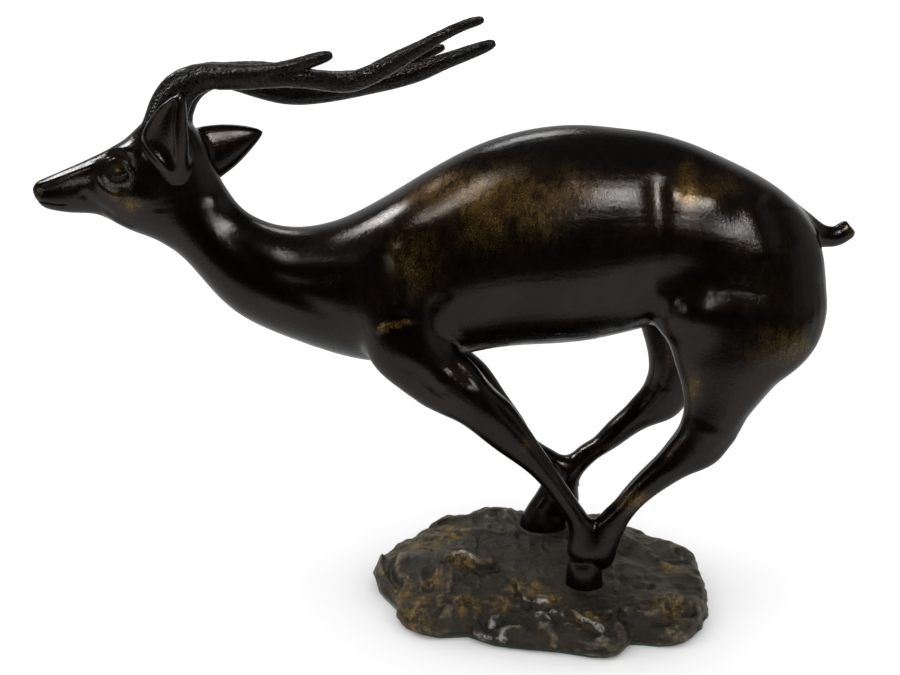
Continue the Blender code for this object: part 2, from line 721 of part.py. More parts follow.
def build():
    clear_scene()
    parts = add_collection("bronze_statuette")
    cutters = add_collection("cutters")
    bronze = add_material("patinated_bronze", BRONZE, 0.22, 0.85)
    base_bronze = add_material("base_bronze", BASE_BRONZE, 0.5, 0.8)
    dowel_bronze = add_material("dowel_bronze", DOWEL_BRONZE, 0.35, 1.0)
    steel = add_material("fastener_steel", STEEL, 0.35, 1.0)
    felt = add_material("base_felt", FELT_GREEN, 0.95, 0.0)

    torso = build_torso(parts, cutters, bronze)
    neck = build_neck(parts, cutters, bronze)
    head = build_head(parts, cutters, bronze)
    build_base(parts, cutters, base_bronze)
    build_felt(parts, felt)

    sides = (
        ("left", -1, LEFT_FORE_FOOT, LEFT_HIND_FOOT, LEFT_FOOT, LEFT_SOLE, LEFT_HEEL),
        ("right", 1, RIGHT_FORE_FOOT, RIGHT_HIND_FOOT, RIGHT_FOOT, RIGHT_SOLE, RIGHT_HEEL),
    )
    for name, side, fore_foot, hind_foot, foot, sole, heel in sides:
        fore_rows = (FORELEG if side < 0 else shifted(FORELEG, RIGHT_FORE_SHIFT)) + fore_foot
        hind_rows = (HINDLEG if side < 0 else shifted(HINDLEG, RIGHT_HIND_SHIFT)) + hind_foot
        foreleg = build_leg(f"foreleg_{name}", fore_rows, FORE_CUT, side, parts, bronze)
        hindleg = build_leg(f"hindleg_{name}", hind_rows, HIND_CUT, side, parts, bronze)
        grown = build_leg(f"foreleg_{name}_grown", fore_rows, FORE_CUT, side, cutters, None, GAP)
        combine(hindleg, grown, "DIFFERENCE")
        before_heel = half_space(f"before_heel_{name}", (heel, 0, 0), (-1, 0, 0), cutters)
        combine(hindleg, before_heel, "DIFFERENCE")
        stud_hole = cylinder(
            f"hoof_hole_{name}", (*foot, BELOW_BASE), (*foot, STUD_TOP + GAP), STUD_RADIUS + GAP,
            cutters,
        )  # fmt: skip
        combine(foreleg, stud_hole, "DIFFERENCE")
        under_sole = half_space(f"under_sole_{name}", (*foot, sole), (0, 0, -1), cutters)
        combine(foreleg, under_sole, "DIFFERENCE")
        build_fastener(name, foot, parts, cutters, steel)
        centre, direction = cut_line(fore_rows, FORE_CUT, side)
        add_dowel(
            f"shoulder_dowel_{name}", centre, direction, DOWEL_REACH, (torso, foreleg), parts,
            cutters, dowel_bronze,
        )  # fmt: skip
        centre, direction = cut_line(hind_rows, HIND_CUT, side)
        add_dowel(
            f"thigh_dowel_{name}", centre, direction, DOWEL_REACH, (torso, hindleg), parts,
            cutters, dowel_bronze,
        )  # fmt: skip
        add_dowel(
            f"foot_dowel_{name}", *foot_dowel_line(fore_rows, hind_rows, side), FOOT_DOWEL_REACH,
            (foreleg, hindleg), parts, cutters, dowel_bronze, PIN_RADIUS,
        )  # fmt: skip
    build_crown(head, parts, cutters, bronze, dowel_bronze)
    build_tail(torso, parts, cutters, bronze, dowel_bronze)
    build_cross_pins(torso, neck, head, parts, cutters, dowel_bronze)


build()
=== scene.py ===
"""Looks of the bronze antelope: its castings as sculpted meshes, patina, light and camera.

The animal is one smooth shape. It is worked out as distances on grids: each casting's block holds
the lofted muscles and limbs near it, joined with soft blends. The skin is then detailed with
strokes and bumps, and cut into castings where the CAD cuts it. Shapes are in millimetres, in the
row frame (+Z up, head towards -X, the animal's left towards -Y), and meshes are in metres.
"""

import math

import bmesh
import bpy
import numpy as np
import openvdb
from mathutils import Matrix, Vector
from mathutils.bvhtree import BVHTree


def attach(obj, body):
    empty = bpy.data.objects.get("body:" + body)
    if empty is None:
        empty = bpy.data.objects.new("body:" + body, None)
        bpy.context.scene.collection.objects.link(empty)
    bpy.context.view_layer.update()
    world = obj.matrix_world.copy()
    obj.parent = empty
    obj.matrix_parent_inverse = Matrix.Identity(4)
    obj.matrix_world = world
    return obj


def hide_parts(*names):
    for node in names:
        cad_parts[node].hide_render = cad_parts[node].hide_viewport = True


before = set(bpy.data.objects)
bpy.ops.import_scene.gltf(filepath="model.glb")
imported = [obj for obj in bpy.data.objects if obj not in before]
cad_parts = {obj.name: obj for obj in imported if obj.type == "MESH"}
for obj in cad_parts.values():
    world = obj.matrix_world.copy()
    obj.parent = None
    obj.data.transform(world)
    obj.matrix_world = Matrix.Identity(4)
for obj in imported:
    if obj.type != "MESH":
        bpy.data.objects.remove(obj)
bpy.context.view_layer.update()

MM = 0.001
LEFT, RIGHT = -1, 1
BAND = 12  # voxels of true distance on each side of a skin
QUICK = 1.0
SEAM_REACH = 9.0  # how far from a cut a skin is laid on its neighbour's
SEAM_GAP = 1.6  # the widest step that is closed there
RELAX_IN, RELAX_OUT = 0.55, 0.57  # a step towards the neighbours, and one back
CUT_REACH = 1.2  # how far outside a limb its cut still works
STROKE_REACH = 3.2  # a stroke fades out at this many widths
STROKE_END = 0.18  # the share of a stroke's length over which each end fades
FACING_FROM, FACING_FULL = 0.05, 0.5  # how squarely a skin must face sideways to be worked

# ---------------------------------------------------------------------------------------------
# Outlines, in millimetres. A row is one cross-section: two opposite points of it in side view
# (x, z and x, z), its distance from the middle plane where it has one, and half its width.

# From inside the head along the neck and back to the rump: back line, belly line, half width.
TRUNK = [
    (-172, 238, -192, 196, 10), (-166, 230, -188, 188, 12), (-161, 222.5, -184, 182.5, 13.5),
    (-156.5, 214.5, -180, 179, 14.5), (-149, 202.3, -173, 172.5, 15.5),
    (-141, 195.3, -164.6, 162.3, 17), (-131, 191.2, -152.6, 149.5, 19.5),
    (-120, 189.7, -137.7, 140.5, 22.5), (-109, 190.8, -121.8, 134, 26),
    (-97, 194.3, -104.8, 128, 29.5), (-83, 201, -88, 124, 33), (-66, 211, -69, 122.8, 35),
    (-45, 223.2, -47, 125, 36.5), (-20, 233.7, -20, 130.4, 37), (10, 238.8, 10, 132.3, 37),
    (40, 237, 38, 137, 35.5), (65, 232, 62, 142.8, 35), (90.5, 221.6, 87, 145, 35.5),
    (110, 211.3, 107, 147, 34), (123.4, 200.8, 123, 150, 29), (131, 191, 131, 158, 20),
    (133.4, 182, 133.4, 167, 8),
]  # fmt: skip
TRUNK_LOW_SPOT = 0.10  # how far the widest part lies below the middle

SKULL = [
    (-246, 209, -244.2, 203, 2.8), (-244.2, 211.6, -241.8, 200, 4.6),
    (-240, 213.7, -237.4, 198.3, 5.4), (-230, 217.8, -228, 197, 6.2),
    (-219, 222.5, -215.5, 196, 8.3), (-209, 227.2, -205, 191, 11.6),
    (-200, 232.4, -195, 186.6, 14.4), (-192.3, 239, -186.5, 184.2, 15.2),
    (-183, 244, -178, 184.8, 15), (-171, 241, -168, 192, 13.8), (-164.5, 234, -161.5, 204, 9.5),
    (-161.5, 228, -160.5, 215, 4),
]  # fmt: skip

# Limbs: front point, rear point, distance from the middle plane, half width.
SHOULDER = [
    (-76, 190, -44, 192, 17, 8), (-84, 172, -43, 178, 21, 11), (-86.5, 158, -45, 165, 25, 12.5),
    (-86, 146, -46.5, 154, 27.5, 12.8), (-84, 134, -46, 144, 29, 12.3),
    (-78, 125, -42.5, 137.5, 30.3, 11.6), (-69.8, 118.2, -38.5, 134, 31.2, 10.8),
    (-60, 111.1, -34.5, 130.4, 32, 10.2), (-50, 105.9, -30.5, 125.6, 32.6, 9.5),
    (-40, 101, -25.5, 118.7, 33, 8.8), (-30, 93.3, -16.4, 110.5, 33, 8),
    (-20, 85.4, -8.8, 100, 33, 6.8), (-10, 78, -1.2, 88.4, 33, 5.8), (-1, 69.3, 7, 75.7, 33, 5),
    (5, 61.6, 12.8, 66.6, 33, 4.8),
]  # fmt: skip
LEFT_PASTERN = [
    (10.2, 53.5, 19.5, 56.8, 33, 5), (13, 48, 24, 49.5, 33, 5.5), (13.9, 42.5, 26, 43, 33, 6.1),
    (13.6, 37, 27.6, 37.2, 33, 6.8), (13.4, 33, 28.8, 33.2, 33, 7.1),
    (14.6, 30.6, 28.8, 30.8, 33, 6.6),
]  # fmt: skip
LEFT_HOOF = [
    (15.6, 33, 29, 33, 33, 6.2), (14.8, 29.5, 29.8, 29.5, 33, 7.2), (13.4, 25, 30.5, 25, 33, 8.2),
    (12.8, 20, 31, 20, 33, 8.8), (12.6, 13.5, 31.2, 13.5, 33, 9.0),
]  # fmt: skip
RIGHT_PASTERN = [
    (9.6, 51, 20.3, 53.5, 33, 5.2), (6.3, 42.5, 20.6, 44, 33, 5.8),
    (2.6, 35.5, 19.7, 36.5, 33, 6.5), (-0.6, 30.2, 18.8, 30, 33, 7.2), (-2, 27, 18.5, 27, 33, 7),
]  # fmt: skip
RIGHT_HOOF = [
    (-0.6, 30, 18.2, 29.5, 33, 6.9), (-3.4, 26, 18.6, 26, 33, 7.8), (-5.4, 21.6, 19, 22, 33, 8.6),
    (-6.3, 18, 19, 18, 33, 9.1), (-6.4, 14.5, 19, 14.5, 33, 9.1),
]  # fmt: skip
RIGHT_FORE_SHIFTS = ((-10, 0), (-10.6, 0))  # x and z of the first and the last row
THIGH = [
    (70, 200, 116, 199, 13, 11), (63, 188, 125, 187, 16, 14.5), (56, 173, 131, 172, 20, 17),
    (52, 158, 133.8, 157, 23.5, 18), (53.5, 147, 132.6, 147.5, 25.3, 17),
    (58.5, 139.5, 129.2, 138.5, 27, 15.5), (61.8, 131, 121.8, 129, 28.5, 14),
    (64.8, 122, 112, 120.3, 29.5, 12.5), (67, 112.5, 104, 111, 30.5, 11),
    (67.3, 105, 98, 103, 31.3, 10), (66.3, 99, 94.3, 96, 32, 9.2),
    (64, 94.2, 89.5, 88.5, 32.3, 8.4), (61, 90, 84.8, 82.3, 32.6, 7.8),
    (57.2, 84.8, 79, 78.3, 32.8, 7.3), (53, 80, 71.5, 75.3, 33, 6.8),
    (47, 73.3, 62, 69.5, 33, 6.2), (41.3, 66.3, 52.5, 62, 33, 5.6),
]  # fmt: skip
LEFT_HOCK = [
    (36.6, 60.3, 47.3, 56.6, 33, 5.4), (32, 55.3, 43, 50.5, 33, 5.4), (28, 50, 40.5, 45, 33, 5.6),
    (26, 43, 38.5, 40, 33, 5.8), (25, 37, 37.4, 35.5, 33, 5.8), (25.5, 32, 36.4, 31, 33, 5.4),
    (27, 28, 35.2, 27.4, 33, 4.6), (28.6, 25.6, 33.2, 25.2, 33, 3.2),
]  # fmt: skip
RIGHT_HOCK = [
    (27, 63.5, 35.5, 57.5, 33, 5.3), (20, 56.5, 28, 49.5, 33, 5.5), (16, 50, 25.3, 44.5, 33, 5.8),
    (15, 42, 24.8, 39, 33, 5.8), (15.5, 34, 25.5, 33, 33, 5.6), (15.5, 27, 24.5, 27, 33, 5.2),
    (16, 21.5, 23, 21.5, 33, 4.6),
]  # fmt: skip
RIGHT_HIND_SHIFTS = ((-5, -1), (-8, 1.5))

# Round limbs: x, distance from the middle plane, z, half depth in side view, half width.
TAIL = [
    (112, 0, 195, 9.4, 7), (122, 0, 190.4, 9.4, 6.8), (131, 0, 186.8, 7.5, 5.8),
    (138, 0, 185.2, 5.4, 4.5), (144, 0, 185.6, 4.7, 3.7), (147.4, 0, 187.7, 4.7, 3.4),
    (149.6, 0, 188.9, 4.2, 2.9), (150.3, 0, 189.4, 2.4, 1.5),
]  # fmt: skip
STEM = [
    (-182, 4.2, 228, 8.4, 4), (-180.3, 5, 236, 9.6, 4.4), (-177.6, 5.8, 245, 9.6, 4.7),
    (-171.8, 7.5, 254.8, 8.4, 4.9), (-161.5, 9, 260.8, 6.8, 4.8), (-150, 10.2, 262, 5.6, 4.6),
    (-138, 11.2, 261.8, 4.6, 4.2), (-130, 11.8, 261.5, 3.4, 3.2),
]  # fmt: skip
LEFT_TINE = [
    (-152, 10.5, 262.8, 4.8, 4), (-138, 12, 263.4, 4.2, 3.6), (-127, 13, 264.4, 3.8, 3.4),
    (-118, 13.5, 266.3, 3.5, 3.2), (-110, 14, 268.6, 3.3, 3), (-103.4, 14, 270.6, 2.9, 2.6),
    (-99.8, 14, 271.5, 2.0, 1.8), (-98.6, 14, 271.8, 0.9, 0.8),
]  # fmt: skip
LEFT_BEAM = [
    (-152, 9, 260.5, 4.8, 4), (-138, 10, 260, 4.1, 3.8), (-117, 13, 260.8, 3.9, 4),
    (-98, 14.5, 259.6, 4.7, 4.5), (-89, 15, 260.1, 4.7, 4.5), (-79, 15.5, 264, 4.5, 4.2),
    (-70, 15.5, 268.8, 4.2, 3.9), (-59.6, 15.5, 274.3, 3.3, 3.2), (-39.5, 14.5, 284.4, 2.5, 2.3),
    (-31, 14, 287.0, 1.9, 1.7), (-29.6, 14, 287.5, 0.9, 0.8),
]  # fmt: skip
RIGHT_TINE = [
    (-150, 11, 263, 4.5, 4), (-138, 12, 264.5, 3.8, 3.6), (-122, 14, 262.6, 3.5, 3.4),
    (-104, 16, 260.2, 3.4, 3.3), (-88, 17, 260.8, 3.4, 3.2), (-72, 17.5, 264.8, 3, 2.9),
    (-58, 17.5, 270.6, 2.5, 2.4), (-49, 17.5, 274.2, 1.8, 1.7), (-47.6, 17.5, 274.8, 0.9, 0.8),
]  # fmt: skip
RIGHT_BEAM = [
    (-150, 9, 259.5, 4.6, 4), (-138, 10, 255.5, 4.5, 3.9), (-124, 11.5, 252, 4.4, 3.9),
    (-110, 12, 252.1, 4.3, 4), (-97, 12.5, 254, 4.3, 4.1), (-84, 13, 257, 4.7, 4.2),
    (-62, 13, 262.4, 4.6, 4), (-50, 13, 267, 4.1, 3.7), (-38, 12.5, 271.3, 3.5, 3.2),
    (-25, 12, 276, 2.3, 2.1), (-23.2, 12, 276.5, 1.1, 1.0),
]  # fmt: skip
# Ears: two opposite edge points, distance from the middle plane, half the thickness.
LEFT_EAR = [
    (-176.5, 214, -169.5, 214, 11, 3.4), (-180.5, 221, -168, 220, 13, 4.6),
    (-186, 228.5, -166.6, 227, 14.8, 5.4), (-187.8, 234.5, -166, 234, 16.4, 5.4),
    (-183.7, 242.3, -165.8, 241.5, 17.8, 4.8), (-177.2, 249.3, -165.6, 248.3, 19, 3.8),
    (-172, 253, -165.9, 252.4, 19.5, 2.6), (-169, 254.6, -166.8, 254.4, 19.7, 1.4),
]  # fmt: skip
LEFT_EAR_CUP = [
    (-177, 217.5, -173, 217.5, 18.4, 1.2), (-179.6, 222, -171.6, 221.6, 20, 3.4),
    (-184.9, 229, -170.9, 228.4, 22, 5.6), (-187, 235, -170.3, 234.6, 23.6, 6.2),
    (-183, 242.2, -169.8, 241.6, 24.4, 5.6), (-176.9, 248.6, -169.3, 247.8, 24.2, 4.2),
    (-172.6, 252.2, -169, 251.6, 23.8, 2.6),
]  # fmt: skip
RIGHT_EAR = [
    (-176, 234, -166, 212, 8, 4.6), (-168, 236.6, -161.6, 210.4, 11, 5),
    (-160, 237.8, -156.4, 213.4, 13.8, 4.8), (-151, 237.7, -150.2, 218.2, 16, 4.2),
    (-143.6, 236.6, -143.6, 225.0, 17.8, 3.2), (-139.2, 235.2, -139.2, 230.2, 19, 2),
    (-137.5, 234.0, -137.6, 232.8, 19.4, 1),
]  # fmt: skip

# Where the castings meet: a point of the flat cut and the direction of the piece beyond it.
HEAD_FACE = ((-156.5, 0, 215), (35.5, 0, -23.5))
NECK_FACE = ((-97, 0, 195), (68, 0, -7))
TAIL_FACE = ((134, 0, 186), (1, 0, 0.02))
STEM_FACE = ((-174.5, 0, 245), (5, 0, 9.5))
FORE_FACE = ((-55, 31, 125.5), (10.5, 1.6, -9))
HIND_FACE = ((81.6, 31.1, 104.3), (-3.7, 1, -9.6))
RIGHT_FORE_CUT_SHIFT, RIGHT_HIND_CUT_SHIFT = -4.0, -5.0
LEFT_HEEL, RIGHT_HEEL = 26.8, 18.5
LEFT_SOLE, RIGHT_SOLE = 15.5, 16.5


# ---------------------------------------------------------------------------------------------
# Mesh and grid helpers


def smoothstep(value, low, high):
    t = np.clip((value - low) / (high - low), 0, 1)
    return t * t * (3 - 2 * t)


def spline(rows, count):
    """Points evenly spread along a smooth (natural cubic) curve through the rows."""
    rows = np.array(rows, float)
    run = np.linalg.norm(np.diff(rows, axis=0), axis=1)
    at = np.concatenate([[0], np.cumsum(np.sqrt(run))])
    gap = np.diff(at)
    n = len(rows)
    left = np.eye(n)
    right = np.zeros_like(rows)
    for k in range(1, n - 1):
        left[k, k - 1 : k + 2] = gap[k - 1], 2 * (gap[k - 1] + gap[k]), gap[k]
        ahead, behind = (rows[k + 1] - rows[k]) / gap[k], (rows[k] - rows[k - 1]) / gap[k - 1]
        right[k] = 6 * (ahead - behind)
    bend = np.linalg.solve(left, right)
    want = np.linspace(0, at[-1], count)
    k = np.clip(np.searchsorted(at, want) - 1, 0, n - 2)
    g = gap[k][:, None]
    a, b = (at[k + 1] - want)[:, None] / g, (want - at[k])[:, None] / g
    return (
        a * rows[k]
        + b * rows[k + 1]
        + ((a**3 - a) * bend[k] + (b**3 - b) * bend[k + 1]) * g * g / 6
    )


def flat_rings(rows, count, sides, across):
    """Rings given by two opposite points in side view, with across(row, cosine, sine) for y."""
    rows = spline(rows, count)
    turn = np.linspace(0, 2 * np.pi, sides, endpoint=False)
    c, s = np.cos(turn), np.sin(turn)
    middle = (rows[:, 0:2] + rows[:, 2:4]) / 2
    deep = (rows[:, 0:2] - rows[:, 2:4]) / 2
    flat = middle[:, None, :] + deep[:, None, :] * c[None, :, None]
    return np.stack([flat[..., 0], across(rows[:, 4:], c, s), flat[..., 1]], axis=-1)


def section_rings(rows, count, sides, low_spot=0.0):
    """Rings of the trunk or the skull, across the middle plane."""
    return flat_rings(rows, count, sides, lambda r, c, s: r[:, 0:1] * s * (1 - low_spot * c))


def limb_rings(rows, side, count, sides):
    return flat_rings(rows, count, sides, lambda r, c, s: side * (r[:, 0:1] + r[:, 1:2] * s))


def round_rings(rows, side, count, sides):
    """Rings of a limb given by its line, square to that line."""
    rows = spline(rows, count)
    line = rows[:, [0, 1, 2]] * (1, side, 1)
    run = np.gradient(line, axis=0)
    run /= np.linalg.norm(run, axis=1, keepdims=True)
    deep = np.cross(run, (0, 1, 0))
    deep /= np.linalg.norm(deep, axis=1, keepdims=True)
    across = np.cross(deep, run)
    turn = np.linspace(0, 2 * np.pi, sides, endpoint=False)
    c, s = np.cos(turn)[None, :, None], np.sin(turn)[None, :, None]
    depth, width = rows[:, 3][:, None, None], rows[:, 4][:, None, None]
    return line[:, None, :] + deep[:, None, :] * c * depth + across[:, None, :] * s * width


def noise(points, size, seed):
    """Smooth random values from -1 to 1, with features about one size wide."""
    cell = np.asarray(points) / size
    corner = np.floor(cell).astype(np.int64)
    part = cell - corner
    part = part**3 * (part * (part * 6 - 15) + 10)
    total = np.zeros(len(cell))
    for k in range(8):
        step = np.array([(k >> 0) & 1, (k >> 1) & 1, (k >> 2) & 1])
        key = (corner + step) @ np.array([73856093, 19349663, 83492791]) + seed * 2654435761
        key = (key ^ (key >> 13)) * 1274126177 & 0xFFFFFFFF
        key = (key ^ (key >> 16)) * 668265263 & 0xFFFFFFFF
        value = ((key ^ (key >> 15)) & 0xFFFF) / 32767.5 - 1
        total += value * np.prod(np.where(step == 1, part, 1 - part), axis=1)
    return total


def blended(first, second, width):
    """The soft minimum of two distances, which joins shapes with a fillet."""
    near = np.clip(width - np.abs(first - second), 0, None) / width
    return np.minimum(first, second) - near**3 * (width / 6)


class Block:
    """Distances in millimetres to a shape, on a grid over a box of space."""

    def __init__(self, low, high, step):
        self.step = step * QUICK
        self.first = np.floor(np.array(low) / self.step).astype(int)
        last = np.ceil(np.array(high) / self.step).astype(int)
        self.shape = tuple(last - self.first + 1)
        self.far = BAND * self.step
        self.grid = openvdb.createLinearTransform(voxelSize=self.step)

    def solid(self, rings):
        """Distances to the closed solid through the rings."""
        count, sides = rings.shape[:2]
        points = np.concatenate([rings.reshape(-1, 3), rings[[0, -1]].mean(axis=1)])
        ring, k = np.meshgrid(np.arange(count - 1), np.arange(sides), indexing="ij")
        n = (k + 1) % sides
        quads = np.stack([ring, ring, ring + 1, ring + 1], -1) * sides
        quads = (quads + np.stack([k, n, n, k], -1)).reshape(-1, 4)
        k, n = k[0], n[0]
        start, end = np.full(sides, count * sides), np.full(sides, count * sides + 1)
        last = (count - 1) * sides
        ends = np.concatenate([np.stack([n, k, start], -1), np.stack([k + last, n + last, end], -1)])
        shell = openvdb.FloatGrid.createLevelSetFromPolygons(
            points.astype(np.float32),
            triangles=ends.astype(np.uint32),
            quads=quads.astype(np.uint32),
            transform=self.grid,
            halfWidth=BAND,
        )
        out = np.empty(self.shape, np.float32)
        shell.copyToArray(out, ijk=tuple(int(v) for v in self.first))
        return out

    def axes(self):
        lines = [(f + np.arange(n)) * self.step for f, n in zip(self.first, self.shape)]
        return np.meshgrid(*lines, indexing="ij", sparse=True)

    def skin(self, field, rounds):
        """The surface where the field is zero, as points and outward quads."""
        grid = openvdb.FloatGrid(self.far)
        grid.transform = self.grid
        grid.copyFromArray(np.ascontiguousarray(field, np.float32), ijk=tuple(int(v) for v in self.first))
        points, quads = grid.convertToQuads(isovalue=0.0)
        skin = Skin(points.astype(float), quads.astype(np.int64))
        skin.relax(rounds)
        return skin

    def sample(self, field, points):
        """The field's value at each point."""
        at = np.asarray(points) / self.step - self.first
        low = np.clip(np.floor(at).astype(int), 0, np.array(self.shape) - 2)
        part = at - low
        total = np.zeros(len(at))
        for k in range(8):
            step = np.array([(k >> 0) & 1, (k >> 1) & 1, (k >> 2) & 1])
            i, j, m = (low + step).T
            total += field[i, j, m] * np.prod(np.where(step == 1, part, 1 - part), axis=1)
        return total


class Skin:
    """Points and quads in millimetres, with values kept for each point."""

    def __init__(self, points, quads):
        self.points, self.quads = points, quads
        ends = np.concatenate([quads[:, [k, (k + 1) % 4]] for k in range(4)])
        self.ends = np.concatenate([ends, ends[:, ::-1]])
        self.degree = np.maximum(np.bincount(self.ends[:, 0], minlength=len(points)), 1)
        self.values = {}

    def mean(self, values):
        """Each point's value averaged over its neighbours."""
        flat = values.reshape(len(values), -1)
        start, end = self.ends.T
        out = np.stack(
            [np.bincount(start, flat[end, c], len(flat)) for c in range(flat.shape[1])], -1
        )
        return (out / self.degree[:, None]).reshape(values.shape)

    def relax(self, rounds):
        """Evens the surface out without shrinking it."""
        for _ in range(rounds):
            self.points = self.points + RELAX_IN * (self.mean(self.points) - self.points)
            self.points = self.points - RELAX_OUT * (self.mean(self.points) - self.points)

    def normals(self):
        corners = self.points[self.quads]
        face = np.cross(corners[:, 2] - corners[:, 0], corners[:, 3] - corners[:, 1])
        out = np.zeros_like(self.points)
        for k in range(4):
            for c in range(3):
                out[:, c] += np.bincount(self.quads[:, k], face[:, c], len(out))
        return out / np.maximum(np.linalg.norm(out, axis=1, keepdims=True), 1e-12)

    def push(self, amount):
        """Moves each point along its normal."""
        self.points = self.points + self.normals() * amount[:, None]

    def ridges(self, rounds, full):
        """From 0 on flat and hollow skin to 1 where it stands up by the full height."""
        even = self.points
        for _ in range(rounds):
            even = self.mean(even)
        height = np.einsum("ij,ij->i", self.points - even, self.normals())
        for _ in range(2):
            height = self.mean(height)
        return np.clip(height / full, 0, 1)


def line_distance(flat, line):
    """Each point's distance to a line of points, its signed side, and its place along it."""
    best = np.full(len(flat), np.inf)
    side = np.zeros(len(flat))
    place = np.zeros(len(flat))
    count = len(line) - 1
    for k, (a, b) in enumerate(zip(line, line[1:])):
        a, run = np.array(a, float), np.array(b, float) - np.array(a, float)
        t = np.clip((flat - a) @ run / (run @ run), 0, 1)
        away = flat - a - t[:, None] * run
        d = np.hypot(*away.T)
        near = d < best
        best[near] = d[near]
        side[near] = np.sign(run[0] * away[near, 1] - run[1] * away[near, 0])
        place[near] = (k + t[near]) / count
    return best, side, place


def moved(rows, first, last):
    """The rows of a limb moved in x and z, by an amount that changes from its first to its last row."""
    rows = np.array(rows, float)
    part = np.linspace(0, 1, len(rows))[:, None]
    rows[:, 0:4] += np.tile(np.array(first) * (1 - part) + np.array(last) * part, 2)
    return rows.tolist()


def curve(points, count=24):
    return spline(points, count) if len(points) > 2 else np.array(points, float)


# ---------------------------------------------------------------------------------------------
# The animal

MUSCLES = {
    "trunk": section_rings(TRUNK, 150, 72, TRUNK_LOW_SPOT),
    "skull": section_rings(SKULL, 90, 48),
    "tail": round_rings(TAIL, 1, 40, 24),
}
for NAME, SIDE in (("left", LEFT), ("right", RIGHT)):
    FORE = SHOULDER if SIDE == LEFT else moved(SHOULDER, *RIGHT_FORE_SHIFTS)
    HIND = THIGH if SIDE == LEFT else moved(THIGH, *RIGHT_HIND_SHIFTS)
    PASTERN, HOCK = (LEFT_PASTERN, LEFT_HOCK) if SIDE == LEFT else (RIGHT_PASTERN, RIGHT_HOCK)
    TINE, BEAM = (LEFT_TINE, LEFT_BEAM) if SIDE == LEFT else (RIGHT_TINE, RIGHT_BEAM)
    MUSCLES[f"foreleg_{NAME}"] = limb_rings(FORE + PASTERN, SIDE, 150, 32)
    MUSCLES[f"hindleg_{NAME}"] = limb_rings(HIND + HOCK, SIDE, 160, 36)
    MUSCLES[f"hoof_{NAME}"] = limb_rings(LEFT_HOOF if SIDE == LEFT else RIGHT_HOOF, SIDE, 24, 32)
    MUSCLES[f"stem_{NAME}"] = round_rings(STEM, SIDE, 60, 24)
    MUSCLES[f"tine_{NAME}"] = round_rings(TINE, SIDE, 60, 20)
    MUSCLES[f"beam_{NAME}"] = round_rings(BEAM, SIDE, 90, 20)
MUSCLES["ear_left"] = limb_rings(LEFT_EAR, LEFT, 50, 32)
MUSCLES["ear_right"] = limb_rings(RIGHT_EAR, RIGHT, 50, 32)
MUSCLES["ear_left_cup"] = limb_rings(LEFT_EAR_CUP, LEFT, 40, 28)

# How softly each muscle runs into the ones before it.
BLEND = {
    "skull": 9, "tail": 5, "foreleg": 10, "hindleg": 12, "hoof": 1.4,
    "stem": 6, "tine": 2.2, "beam": 2.2, "ear": 6.5,
}  # fmt: skip


def sculpt(block, names):
    """The joined shape of these muscles in the block, and each one's own distances."""
    own = {name: block.solid(MUSCLES[name]) for name in names}
    whole = None
    for name in names:
        kind = name.split("_")[0]
        whole = own[name] if whole is None else blended(whole, own[name], BLEND[kind])
    return whole, own


# Strokes drawn on both flanks: points (x, z), width, height (negative is a groove).
STROKES = [
    # Groove ahead of the hip, from the loin down into the flank.
    ([(49, 222), (50, 208), (51, 193), (52, 178), (54, 162)], 5.5, -0.9),
    # Behind the upper arm, from the shoulder down to the elbow.
    ([(-50, 168), (-54, 156), (-51, 145), (-46, 137), (-37, 126), (-30, 120)], 3.2, -1.0),
    ([(-44, 166), (-46, 154), (-43, 144), (-37, 135)], 2.2, 0.5),
    # The upper arm's rounded end, under the point of the shoulder.
    ([(-80, 146), (-75, 149.5), (-69, 151.6), (-62, 152)], 1.6, 0.35),
    # The shoulder blade's front edge.
    ([(-72, 190), (-68, 176), (-66, 163), (-67, 154)], 5.0, 0.9),
    # Crease round the point of the thigh.
    ([(72, 166), (82, 167.5), (92, 166.5), (102, 163)], 1.5, -0.10),
    # The haunch's soft fold towards the tail.
    ([(101, 210), (106, 197), (109, 184)], 6.0, -0.8),
    ([(92, 208), (97, 194), (100, 180)], 6.0, 0.4),
    # Chest fold.
    ([(-74, 131), (-64, 130), (-54, 122), (-46, 116)], 3.0, -0.7),
    # The forearm's tendon.
    ([(-28, 117), (-17, 104), (-6, 91), (3, 78), (12, 66), (17, 56)], 1.5, -0.45),
    # The tendon behind the hock, and the shin's edge.
    ([(115, 128), (104, 114), (94, 101), (85, 90), (77, 82)], 3.0, -0.5),
    ([(67, 104), (65, 97), (60, 90), (51, 79.5), (42, 68), (35, 59)], 2.0, 0.5),
    # Neck muscle.
    ([(-160, 200), (-146, 184), (-128, 168), (-108, 156), (-92, 150)], 5.0, -0.6),
    # Flank folds that run from the belly up to the thigh.
    ([(34, 142), (43, 148), (50, 156), (56, 166)], 4.0, 0.5),
    ([(48, 146), (54, 153), (60, 161), (64, 168)], 3.6, -0.45),
]
# Bumps on both flanks: centre (x, z), radii (x, z), height.
BUMPS = [
    ((40, 164), (13, 12), -1.3),
    ((58, 210), (5, 6), 0.7),
    ((76, 207), (10, 7), 1.3),
    ((32, 210), (18, 11), 0.9),
    ((64, 174), (14, 9), -1.0),
    ((68, 155), (10, 11), 2.5),
    ((-68, 138), (13, 12), 1.1),
    ((-25, 120), (7, 5), 0.9),
    ((-62, 198), (15, 9), 1.3),
    ((114, 140), (14, 14), 0.9),
    ((-14, 172), (30, 16), 0.6),
    ((-100, 172), (16, 12), 0.7),
    ((-156, 204), (4, 4), 0.6),
]


